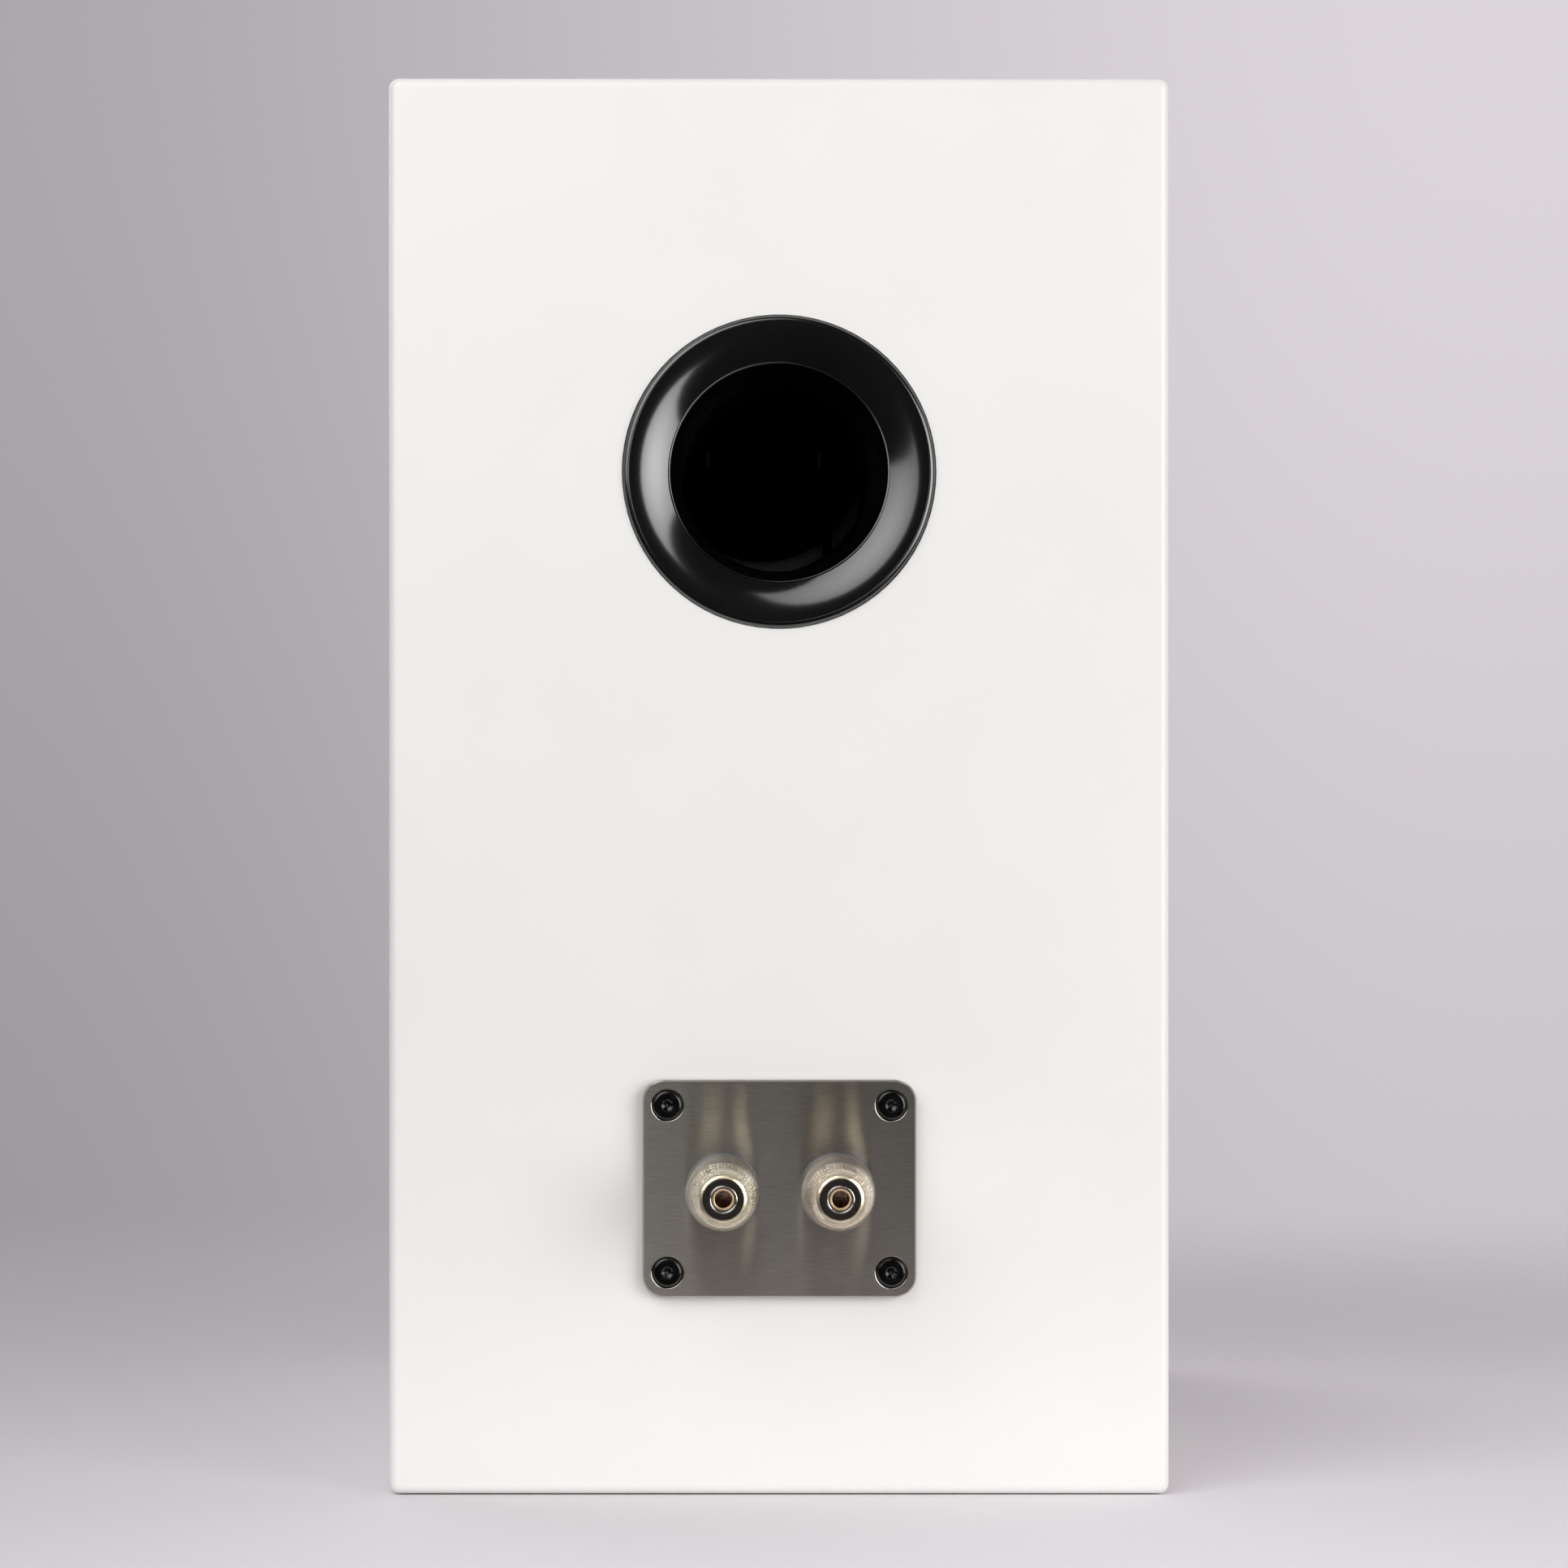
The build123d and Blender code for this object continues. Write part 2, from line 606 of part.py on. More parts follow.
with BuildPart() as threaded_inserts:
    with Locations(*plate_points, *woofer_points, *tweeter_points, *board_points):
        add(insert.part)
save(threaded_inserts, "threaded_inserts")


def base_insulator(x):
    """The clear flange on the plate, with a spigot that keeps the stud off the metal."""
    with BuildPart() as piece:
        with BuildSketch(lathe_plane(x, TERMINAL_Z)):
            with BuildLine():
                Polyline(
                    (STUD_R + THREAD_GAP, PLATE_BACK_Y),
                    (SPIGOT_R, PLATE_BACK_Y),
                    (SPIGOT_R, PLATE_Y),
                    (FLANGE_R, PLATE_Y),
                    (FLANGE_R, COLLAR_Y),
                    (STUD_R + THREAD_GAP, COLLAR_Y),
                    close=True,
                )
            make_face()
        revolve(axis=lathe_axis(x, TERMINAL_Z))
        rim = piece.faces().filter_by(Axis.Y).sort_by(Axis.Y)[-1].edges().sort_by(SortBy.RADIUS)[-1]
        fillet(rim, FLANGE_EDGE_R)
    return piece


def post_stud(x):
    """The plated stud: tail, clamping collar, thread, neck and a blind bore in the tip."""
    bore_r = BANANA_R + BANANA_WALL + MOULDED_GAP
    with BuildPart() as piece:
        with BuildSketch(lathe_plane(x, TERMINAL_Z)):
            with BuildLine():
                Polyline(
                    (0, PLATE_Y - STUD_TAIL),
                    (STUD_R, PLATE_Y - STUD_TAIL),
                    (STUD_R, COLLAR_Y),
                    (COLLAR_R, COLLAR_Y),
                    (COLLAR_R, WASHER_Y),
                    (STUD_R, WASHER_Y),
                    (STUD_R, NECK_Y),
                    (NECK_R, NECK_Y),
                    (NECK_R, TIP_Y),
                    (MOUTH_R, TIP_Y),
                    (MOUTH_R, TIP_Y - MOUTH_DEPTH),
                    (bore_r, TIP_Y - MOUTH_DEPTH),
                    (bore_r, TIP_Y - BANANA_DEPTH),
                    (0, TIP_Y - BANANA_DEPTH),
                    close=True,
                )
            make_face()
        revolve(axis=lathe_axis(x, TERMINAL_Z))
        tip = piece.faces().filter_by(Axis.Y).sort_by(Axis.Y)[-1]
        fillet(tip.edges(), NECK_ROUND * (NECK_R - MOUTH_R))
    return piece


def nut_core(x):
    """The fluted metal nut, counterbored so it can slide over the end ring."""
    with BuildPart() as piece:
        with BuildSketch(upright(NUT_END_Y, x, TERMINAL_Z)):
            Circle(NUT_R)
            with PolarLocations(NUT_R, NUT_FLUTES):
                Circle(NUT_FLUTE_R, mode=Mode.SUBTRACT)
        extrude(amount=NUT_END_Y - NUT_Y)
        with BuildSketch(upright(NUT_Y + NUT_FLANGE_HEIGHT, x, TERMINAL_Z)):
            Circle(NUT_FLANGE_R)
        extrude(amount=NUT_FLANGE_HEIGHT)
        with BuildSketch(upright(NUT_END_Y, x, TERMINAL_Z)):
            Circle(STUD_R + THREAD_GAP)
        extrude(amount=NUT_END_Y - NUT_Y, mode=Mode.SUBTRACT)
        with BuildSketch(upright(NUT_END_Y, x, TERMINAL_Z)):
            Circle(END_RING_R + DROP_IN_GAP)
        extrude(amount=NUT_END_Y - NUT_SHOULDER_Y, mode=Mode.SUBTRACT)
    return piece


def nut_sleeve(x):
    """The clear barrel moulded round the nut, widest low down and narrowing to the nose."""
    sleeve_y = NUT_Y + GLUE_GAP
    nose_y = NUT_END_Y - MOULDED_GAP
    step_y = NUT_Y + NUT_FLANGE_HEIGHT + MOULDED_GAP
    belly_y = sleeve_y + SLEEVE_BELLY
    cheek = (SLEEVE_CHEEK_R, (belly_y + nose_y) / 2)
    with BuildPart() as piece:
        with BuildSketch(lathe_plane(x, TERMINAL_Z)):
            with BuildLine():
                Line((NUT_FLANGE_R + MOULDED_GAP, sleeve_y), (SLEEVE_FOOT_R, sleeve_y))
                Line((SLEEVE_FOOT_R, sleeve_y), (SLEEVE_R, belly_y))
                ThreePointArc((SLEEVE_R, belly_y), cheek, (SLEEVE_NOSE_R, nose_y))
                Polyline(
                    (SLEEVE_NOSE_R, nose_y),
                    (NUT_R + MOULDED_GAP, nose_y),
                    (NUT_R + MOULDED_GAP, step_y),
                    (NUT_FLANGE_R + MOULDED_GAP, step_y),
                    (NUT_FLANGE_R + MOULDED_GAP, sleeve_y),
                )
            make_face()
        revolve(axis=lathe_axis(x, TERMINAL_Z))
    return piece


# Binding posts: the positive one is on the left seen from the front
for pole, x in (("positive", POSITIVE_X), ("negative", NEGATIVE_X)):
    save(base_insulator(x), f"base_insulator_{pole}")
    save(post_stud(x), f"post_stud_{pole}")
    washer = ring(x, TERMINAL_Z, STUD_R + THREAD_GAP, WASHER_R, WASHER_Y, NUT_Y)
    save(washer, f"clamp_washer_{pole}")
    save(nut_core(x), f"nut_core_{pole}")
    save(nut_sleeve(x), f"nut_sleeve_{pole}")

# Slotted spring sleeves in the tips, and the rings that stop the nuts coming off
with BuildPart() as banana_sleeves:
    with BuildSketch(*[upright(TIP_Y - BANANA_SLOT, x, TERMINAL_Z) for x in POSTS]):
        Circle(BANANA_R + BANANA_WALL)
        Circle(BANANA_R, mode=Mode.SUBTRACT)
    extrude(amount=BANANA_DEPTH - BANANA_SLOT)
    fillet(banana_sleeves.faces().sort_by(Axis.Y)[-2:].edges(), BANANA_EDGE_R)
    with BuildSketch(*[upright(TIP_Y - BANANA_SLOT - BANANA_RIM, x, TERMINAL_Z) for x in POSTS]):
        for turn in BANANA_TURNS:
            Rectangle(4 * BANANA_R, BANANA_SLOT, rotation=turn)
    extrude(amount=BANANA_CUT, mode=Mode.SUBTRACT)
save(banana_sleeves, "banana_sleeves")

with BuildPart() as end_rings:
    with BuildSketch(*[upright(TIP_Y, x, TERMINAL_Z) for x in POSTS]):
        Circle(END_RING_R)
        Circle(NECK_R + FIT_GAP, mode=Mode.SUBTRACT)
    extrude(amount=END_RING_LENGTH)
    fillet(end_rings.faces().sort_by(Axis.Y)[-2:].edges(), END_RING_EDGE_R)
save(end_rings, "end_rings")

# Behind the plate: insulating bushes, solder tags and lock nuts
with BuildPart() as rear_bushes:
    with BuildSketch(*[upright(PLATE_BACK_Y, x, TERMINAL_Z) for x in POSTS]):
        Circle(BUSH_R)
        Circle(STUD_R + THREAD_GAP, mode=Mode.SUBTRACT)
    extrude(amount=BUSH_HEIGHT)
save(rear_bushes, "rear_bushes")

with BuildPart() as solder_tags:
    with BuildSketch(*[upright(BUSH_Y, x, TERMINAL_Z) for x in POSTS]):
        Circle(TAG_R)
        with Locations((0, -TAG_LENGTH / 2)):
            Rectangle(TAG_WIDTH, TAG_LENGTH)
        Circle(STUD_R + THREAD_GAP, mode=Mode.SUBTRACT)
    extrude(amount=TAG_THICKNESS)
save(solder_tags, "solder_tags")

with BuildPart() as lock_nuts:
    with BuildSketch(*[upright(TAG_Y, x, TERMINAL_Z) for x in POSTS]):
        RegularPolygon(LOCK_NUT_FLATS / 2, 6, major_radius=False, rotation=30)
        Circle(STUD_R + THREAD_GAP, mode=Mode.SUBTRACT)
    extrude(amount=LOCK_NUT_HEIGHT)
save(lock_nuts, "lock_nuts")

# Woofer frame: flange, spoked bowl and the ring that carries the motor
ledge_depth = SPIDER_SEAT + SPIDER_THICKNESS
bowl_slope = (WOOFER_SKIRT_R - BASKET_FOOT_R) / (BASKET_DEPTH - BASKET_FLOOR - BASKET_SKIRT)
ledge_r = WOOFER_SKIRT_R - BASKET_WALL - bowl_slope * (ledge_depth - BASKET_SKIRT)
seat_inner_r = ROLL_CENTRE_R + ROLL_R + SURROUND_THICKNESS
seat_outer_r = seat_inner_r + LIP
with BuildPart() as woofer_basket:
    with BuildSketch(lathe_plane(0, WOOFER_Z)):
        with BuildLine():
            Polyline(
                (seat_inner_r, front(SURROUND_SEAT)),
                (seat_outer_r, front(SURROUND_SEAT)),
                (seat_outer_r, front(0)),
                (WOOFER_R, front(0)),
                (WOOFER_R, front(WOOFER_FLANGE)),
                (WOOFER_SKIRT_R, front(WOOFER_FLANGE)),
                (WOOFER_SKIRT_R, front(BASKET_SKIRT)),
                (BASKET_FOOT_R, front(BASKET_DEPTH - BASKET_FLOOR)),
                (BASKET_FOOT_R, front(BASKET_DEPTH)),
                (BASKET_BORE_R, front(BASKET_DEPTH)),
                (BASKET_BORE_R, front(BASKET_DEPTH - BASKET_FLOOR)),
                (MOTOR_PLATE_R, front(BASKET_DEPTH - BASKET_FLOOR)),
                (MOTOR_PLATE_R, front(ledge_depth)),
                (ledge_r, front(ledge_depth)),
                (WOOFER_SKIRT_R - BASKET_WALL, front(BASKET_SKIRT)),
                (WOOFER_SKIRT_R - BASKET_WALL, front(WOOFER_FLANGE + BASKET_NECK)),
                (seat_inner_r, front(WOOFER_FLANGE)),
                close=True,
            )
        make_face()
    revolve(axis=lathe_axis(0, WOOFER_Z))
    window_arc = 360 / BASKET_SPOKES - SPOKE_ANGLE
    for i in range(BASKET_SPOKES):
        start = -90 - window_arc / 2 + i * 360 / BASKET_SPOKES
        with BuildSketch(lathe_plane(0, WOOFER_Z, start)):
            with BuildLine():
                Polyline(
                    (ledge_r - LIP, front(BASKET_SKIRT + WINDOW_MARGIN)),
                    (WOOFER_R, front(BASKET_SKIRT + WINDOW_MARGIN)),
                    (WOOFER_R, front(ledge_depth - WINDOW_MARGIN)),
                    (ledge_r - LIP, front(ledge_depth - WINDOW_MARGIN)),
                    close=True,
                )
            make_face()
        revolve(axis=lathe_axis(0, WOOFER_Z), revolution_arc=-window_arc, mode=Mode.SUBTRACT)
    with Locations(*[point.offset(WOOFER_REBATE) for point in woofer_points]):
        CounterBoreHole(SCREW_R + DROP_IN_GAP, HEAD_POCKET_R, HEAD_HEIGHT, depth=WOOFER_FLANGE)
save(woofer_basket, "woofer_basket")

with BuildPart() as woofer_gasket:
    with BuildSketch(upright(front(WOOFER_REBATE), 0, WOOFER_Z)):
        Circle(WOOFER_R)
        Circle(WOOFER_HOLE_R, mode=Mode.SUBTRACT)
        with PolarLocations(WOOFER_SCREW_R, WOOFER_SCREWS, 90 + 180 / WOOFER_SCREWS):
            Circle(SCREW_R + DROP_IN_GAP, mode=Mode.SUBTRACT)
    extrude(amount=WOOFER_SEAL)
save(woofer_gasket, "woofer_gasket")

# Surround: a rubber half roll between the frame and the cone rim
roll_in = ROLL_R - SURROUND_THICKNESS / 2
roll_out = ROLL_R + SURROUND_THICKNESS / 2
roll_foot = (roll_out ** 2 - SURROUND_THICKNESS ** 2) ** 0.5
top_depth = SURROUND_SEAT - SURROUND_THICKNESS
with BuildPart() as woofer_surround:
    with BuildSketch(lathe_plane(0, WOOFER_Z)):
        with BuildLine():
            Polyline(
                (ROLL_CENTRE_R + roll_foot, front(top_depth)),
                (seat_outer_r - DROP_IN_GAP, front(top_depth)),
                (seat_outer_r - DROP_IN_GAP, front(SURROUND_SEAT)),
                (ROLL_CENTRE_R + roll_in, front(SURROUND_SEAT)),
            )
            ThreePointArc(
                (ROLL_CENTRE_R + roll_in, front(SURROUND_SEAT)),
                (ROLL_CENTRE_R, front(SURROUND_SEAT - roll_in)),
                (ROLL_CENTRE_R - roll_in, front(SURROUND_SEAT)),
            )
            Polyline(
                (ROLL_CENTRE_R - roll_in, front(SURROUND_SEAT)),
                (CONE_FLAT_R, front(SURROUND_SEAT)),
                (CONE_FLAT_R, front(top_depth)),
                (ROLL_CENTRE_R - roll_foot, front(top_depth)),
            )
            ThreePointArc(
                (ROLL_CENTRE_R - roll_foot, front(top_depth)),
                (ROLL_CENTRE_R, front(SURROUND_SEAT - roll_out)),
                (ROLL_CENTRE_R + roll_foot, front(top_depth)),
            )
        make_face()
    revolve(axis=lathe_axis(0, WOOFER_Z))
save(woofer_surround, "woofer_surround")

# Cone, dust cap and voice coil: the pieces that move together
neck_r = FORMER_R + GLUE_GAP
cone_radii = [CONE_FLAT_R + (neck_r - CONE_FLAT_R) * i / 6 for i in range(7)]
with BuildPart() as woofer_cone:
    with BuildSketch(lathe_plane(0, WOOFER_Z)):
        with BuildLine():
            Line((CONE_RIM_R, front(SURROUND_SEAT)), (CONE_FLAT_R, front(SURROUND_SEAT)))
            Spline(*[(r, front(cone_depth(r))) for r in cone_radii])
            neck_depth = cone_depth(neck_r)
            Line((neck_r, front(neck_depth)), (neck_r, front(neck_depth + CONE_THICKNESS)))
            Spline(*[(r, front(cone_depth(r) + CONE_THICKNESS)) for r in cone_radii])
            Polyline(
                (CONE_FLAT_R, front(SURROUND_SEAT + CONE_THICKNESS)),
                (CONE_RIM_R, front(SURROUND_SEAT + CONE_THICKNESS)),
                (CONE_RIM_R, front(SURROUND_SEAT)),
            )
        make_face()
    revolve(axis=lathe_axis(0, WOOFER_Z))
save(woofer_cone, "woofer_cone")

cap_depth = cone_depth(DUST_CAP_R) - GLUE_GAP
woofer_dust_cap = dome_shell(WOOFER_Z, DUST_CAP_R, DUST_CAP_RISE, DUST_CAP_THICKNESS, cap_depth)
save(woofer_dust_cap, "woofer_dust_cap")

former_depth = neck_depth - CONE_THICKNESS
woofer_former = ring(
    0, WOOFER_Z, FORMER_R - FORMER_WALL, FORMER_R, front(former_depth), front(FORMER_END)
)
save(woofer_former, "woofer_former")

coil_depth = BASKET_DEPTH + MOTOR_PLATE / 2 - COIL_LENGTH / 2
coil_r = FORMER_R + FIT_GAP + COIL_THICKNESS
woofer_coil = ring(
    0, WOOFER_Z, FORMER_R + FIT_GAP, coil_r, front(coil_depth), front(coil_depth + COIL_LENGTH)
)
save(woofer_coil, "woofer_coil")

# Spider: a corrugated disc that centres the voice coil
wave_in = FORMER_R + SPIDER_HUB
wave_out = MOTOR_PLATE_R + SPIDER_HEM
wave_steps = 6 * SPIDER_WAVES


def spider_line(depth):
    """The corrugated line of the spider, from the former out to the ledge."""
    points = []
    for i in range(wave_steps + 1):
        r = wave_in + (wave_out - wave_in) * i / wave_steps
        points.append((r, front(depth + SPIDER_WAVE * sin(2 * pi * i / 6))))
    return points


with BuildPart() as woofer_spider:
    with BuildSketch(lathe_plane(0, WOOFER_Z)):
        with BuildLine():
            Line((FORMER_R + FIT_GAP, front(SPIDER_SEAT)), (wave_in, front(SPIDER_SEAT)))
            Spline(*spider_line(SPIDER_SEAT))
            Polyline(
                (wave_out, front(SPIDER_SEAT)),
                (ledge_r - SPIDER_HEM, front(SPIDER_SEAT)),
                (ledge_r - SPIDER_HEM, front(ledge_depth)),
                (wave_out, front(ledge_depth)),
            )
            Spline(*spider_line(ledge_depth))
            Polyline(
                (wave_in, front(ledge_depth)),
                (FORMER_R + FIT_GAP, front(ledge_depth)),
                (FORMER_R + FIT_GAP, front(SPIDER_SEAT)),
            )
        make_face()
    revolve(axis=lathe_axis(0, WOOFER_Z))
save(woofer_spider, "woofer_spider")

# Woofer motor: front plate, ring magnet and a vented yoke
magnet_depth = BASKET_DEPTH + MOTOR_PLATE
back_depth = magnet_depth + MAGNET_HEIGHT
woofer_top_plate = ring(
    0, WOOFER_Z, coil_r + AIR_GAP, MOTOR_PLATE_R, front(BASKET_DEPTH), front(magnet_depth)
)
save(woofer_top_plate, "woofer_top_plate")
woofer_magnet = ring(0, WOOFER_Z, MAGNET_BORE_R, MOTOR_R, front(magnet_depth), front(back_depth))
save(woofer_magnet, "woofer_magnet")
with BuildPart() as woofer_yoke:
    with BuildSketch(upright(front(back_depth + MOTOR_PLATE), 0, WOOFER_Z)):
        Circle(MOTOR_PLATE_R)
    extrude(amount=MOTOR_PLATE)
    with BuildSketch(upright(front(back_depth), 0, WOOFER_Z)):
        Circle(POLE_R)
    extrude(amount=back_depth - BASKET_DEPTH)
    with BuildSketch(upright(front(back_depth + MOTOR_PLATE), 0, WOOFER_Z)):
        Circle(VENT_R)
    extrude(amount=back_depth + MOTOR_PLATE - BASKET_DEPTH, mode=Mode.SUBTRACT)
save(woofer_yoke, "woofer_yoke")

# Tweeter faceplate: a shallow horn round the dome, with a lip over its clamped edge
clamp_r = DOME_CLAMP_R + DROP_IN_GAP
lip_depth = WAVEGUIDE_DEPTH + FACE_LIP
with BuildPart() as tweeter_faceplate:
    with BuildSketch(lathe_plane(0, TWEETER_Z)):
        with BuildLine():
            ThreePointArc(
                (THROAT_R, front(WAVEGUIDE_DEPTH)),
                ((THROAT_R + WAVEGUIDE_R) / 2, front(WAVEGUIDE_MID)),
                (WAVEGUIDE_R, front(0)),
            )
            Polyline(
                (WAVEGUIDE_R, front(0)),
                (TWEETER_R, front(0)),
                (TWEETER_R, front(TWEETER_FLANGE)),
                (TWEETER_BOSS_R, front(TWEETER_FLANGE)),
                (TWEETER_BOSS_R, front(TWEETER_BOSS)),
                (clamp_r, front(TWEETER_BOSS)),
                (clamp_r, front(lip_depth)),
                (THROAT_R, front(lip_depth)),
                (THROAT_R, front(WAVEGUIDE_DEPTH)),
            )
        make_face()
    revolve(axis=lathe_axis(0, TWEETER_Z))
    with Locations(*[point.offset(TWEETER_REBATE) for point in tweeter_points]):
        CounterBoreHole(SCREW_R + DROP_IN_GAP, HEAD_POCKET_R, HEAD_HEIGHT, depth=TWEETER_FLANGE)
save(tweeter_faceplate, "tweeter_faceplate")

with BuildPart() as tweeter_gasket:
    with BuildSketch(upright(front(TWEETER_REBATE), 0, TWEETER_Z)):
        Circle(TWEETER_R)
        Circle(TWEETER_HOLE_R, mode=Mode.SUBTRACT)
        with PolarLocations(TWEETER_SCREW_R, TWEETER_SCREWS, 90 + 180 / TWEETER_SCREWS):
            Circle(SCREW_R + DROP_IN_GAP, mode=Mode.SUBTRACT)
    extrude(amount=TWEETER_SEAL)
save(tweeter_gasket, "tweeter_gasket")

# Dome, its own half-roll surround and the coil under its edge
tweeter_dome = dome_shell(TWEETER_Z, DOME_R, DOME_RISE, DOME_THICKNESS, DOME_EDGE)
save(tweeter_dome, "tweeter_dome")

hem_r = DOME_R + GLUE_GAP
dome_roll_r = hem_r + DOME_ROLL_R + DOME_THICKNESS
sheet = DOME_THICKNESS / 2
roll_y = front(TWEETER_BOSS - DOME_THICKNESS)
with BuildPart() as tweeter_surround:
    with BuildSketch(lathe_plane(0, TWEETER_Z)):
        with BuildLine():
            ThreePointArc(
                (dome_roll_r - DOME_ROLL_R - sheet, roll_y),
                (dome_roll_r, roll_y - DOME_ROLL_R - sheet),
                (dome_roll_r + DOME_ROLL_R + sheet, roll_y),
            )
            Polyline(
                (dome_roll_r + DOME_ROLL_R + sheet, roll_y),
                (DOME_CLAMP_R, roll_y),
                (DOME_CLAMP_R, front(TWEETER_BOSS)),
                (dome_roll_r + DOME_ROLL_R - sheet, front(TWEETER_BOSS)),
                (dome_roll_r + DOME_ROLL_R - sheet, roll_y),
            )
            ThreePointArc(
                (dome_roll_r + DOME_ROLL_R - sheet, roll_y),
                (dome_roll_r, roll_y - DOME_ROLL_R + sheet),
                (dome_roll_r - DOME_ROLL_R + sheet, roll_y),
            )
            Line((dome_roll_r - DOME_ROLL_R + sheet, roll_y), (dome_roll_r - DOME_ROLL_R - sheet, roll_y))
        make_face()
    revolve(axis=lathe_axis(0, TWEETER_Z))
save(tweeter_surround, "tweeter_surround")

tweeter_coil_r = DOME_R + FIT_GAP
coil_in = tweeter_coil_r - TWEETER_COIL_WALL
tweeter_coil = ring(
    0, TWEETER_Z, coil_in, tweeter_coil_r, front(DOME_EDGE), front(DOME_EDGE + TWEETER_COIL_LENGTH)
)
save(tweeter_coil, "tweeter_coil")

# Tweeter motor and its closed rear chamber
tweeter_magnet_depth = TWEETER_BOSS + TWEETER_PLATE
tweeter_back_depth = tweeter_magnet_depth + TWEETER_MAGNET_HEIGHT
chamber_depth = tweeter_back_depth + TWEETER_BACK
tweeter_top_plate = ring(
    0,
    TWEETER_Z,
    tweeter_coil_r + AIR_GAP,
    TWEETER_PLATE_R,
    front(TWEETER_BOSS),
    front(tweeter_magnet_depth),
)
save(tweeter_top_plate, "tweeter_top_plate")
tweeter_magnet = ring(
    0,
    TWEETER_Z,
    TWEETER_MAGNET_BORE_R,
    TWEETER_BOSS_R,
    front(tweeter_magnet_depth),
    front(tweeter_back_depth),
)
save(tweeter_magnet, "tweeter_magnet")
with BuildPart() as tweeter_yoke:
    with BuildSketch(upright(front(chamber_depth), 0, TWEETER_Z)):
        Circle(TWEETER_PLATE_R)
    extrude(amount=TWEETER_BACK)
    with BuildSketch(upright(front(tweeter_back_depth), 0, TWEETER_Z)):
        Circle(coil_in - AIR_GAP)
    extrude(amount=tweeter_back_depth - TWEETER_BOSS)
    with BuildSketch(upright(front(chamber_depth), 0, TWEETER_Z)):
        Circle(VENT_R)
    extrude(amount=chamber_depth - TWEETER_BOSS, mode=Mode.SUBTRACT)
save(tweeter_yoke, "tweeter_yoke")

with BuildPart() as tweeter_chamber:
    with BuildSketch(upright(front(chamber_depth + CHAMBER_LENGTH), 0, TWEETER_Z)):
        Circle(CHAMBER_R)
    extrude(amount=CHAMBER_LENGTH)
    fillet(tweeter_chamber.faces().sort_by(Axis.Y)[-1].edges(), CHAMBER_WALL)
    with BuildSketch(upright(front(chamber_depth + CHAMBER_LENGTH - CHAMBER_WALL), 0, TWEETER_Z)):
        Circle(CHAMBER_R - CHAMBER_WALL)
    extrude(amount=CHAMBER_LENGTH - CHAMBER_WALL, mode=Mode.SUBTRACT)
save(tweeter_chamber, "tweeter_chamber")

# Blade tabs: two behind the woofer frame, two on the tweeter chamber
foot_z = WOOFER_Z - BASKET_FOOT_R
chamber_end = front(chamber_depth + CHAMBER_LENGTH)
with BuildPart() as driver_tabs:
    woofer_tab_y = front(BASKET_DEPTH) + TAB_THICKNESS
    tab_z = foot_z + (TAB_OVERLAP - TAB_DROP) / 2
    with BuildSketch(*[upright(woofer_tab_y, s * WOOFER_LEAD_X, tab_z) for s in (-1, 1)]):
        Rectangle(TAB_WIDTH, TAB_OVERLAP + TAB_DROP)
    extrude(amount=TAB_THICKNESS)
    with BuildSketch(
        *[upright(chamber_end + TAB_LENGTH, s * TWEETER_LEAD_X, TWEETER_Z) for s in (-1, 1)]
    ):
        Rectangle(TAB_THICKNESS, TAB_WIDTH)
    extrude(amount=TAB_LENGTH)
save(driver_tabs, "driver_tabs")

# Crossover: a board on the base with its coils, capacitors and resistors
with BuildPart() as crossover_board:
    with BuildSketch(Plane(origin=(0, BOARD_Y, WALL))):
        Rectangle(BOARD_WIDTH, BOARD_DEPTH)
        hole_x = BOARD_WIDTH - 2 * BOARD_SCREW_INSET
        hole_y = BOARD_DEPTH - 2 * BOARD_SCREW_INSET
        with GridLocations(hole_x, hole_y, 2, 2):
            Circle(SCREW_R + DROP_IN_GAP, mode=Mode.SUBTRACT)
    extrude(amount=BOARD_THICKNESS)
save(crossover_board, "crossover_board")

rows_depth = 2 * INDUCTOR_R + 2 * CAPACITOR_R + RESISTOR_SIDE + WIRE_LANDING
row_gap = (BOARD_DEPTH - rows_depth) / 4
inductor_y = BOARD_Y + BOARD_DEPTH / 2 - row_gap - INDUCTOR_R
with BuildPart() as inductors:
    with BuildSketch(Plane(origin=(0, inductor_y, BOARD_TOP_Z))):
        with GridLocations(INDUCTOR_SPACING, 0, 2, 1):
            Circle(INDUCTOR_R)
            Circle(INDUCTOR_BORE_R, mode=Mode.SUBTRACT)
    extrude(amount=INDUCTOR_HEIGHT)
    fillet(inductors.edges().filter_by(GeomType.CIRCLE).group_by(Axis.Z)[-1], INDUCTOR_EDGE_R)
save(inductors, "inductors")

capacitor_x = (CAPACITOR_LENGTH + CAPACITOR_GAP) / 2
capacitor_y = inductor_y - INDUCTOR_R - row_gap - CAPACITOR_R
with BuildPart() as capacitors:
    for side in (-1, 1):
        start_x = side * capacitor_x - CAPACITOR_LENGTH / 2
        centre = (start_x, capacitor_y, BOARD_TOP_Z + CAPACITOR_R + GLUE_GAP)
        with BuildSketch(Plane(origin=centre, x_dir=(0, 1, 0), z_dir=(1, 0, 0))):
            Circle(CAPACITOR_R)
        extrude(amount=CAPACITOR_LENGTH)
    fillet(capacitors.edges().filter_by(GeomType.CIRCLE), CAPACITOR_EDGE_R)
save(capacitors, "capacitors")

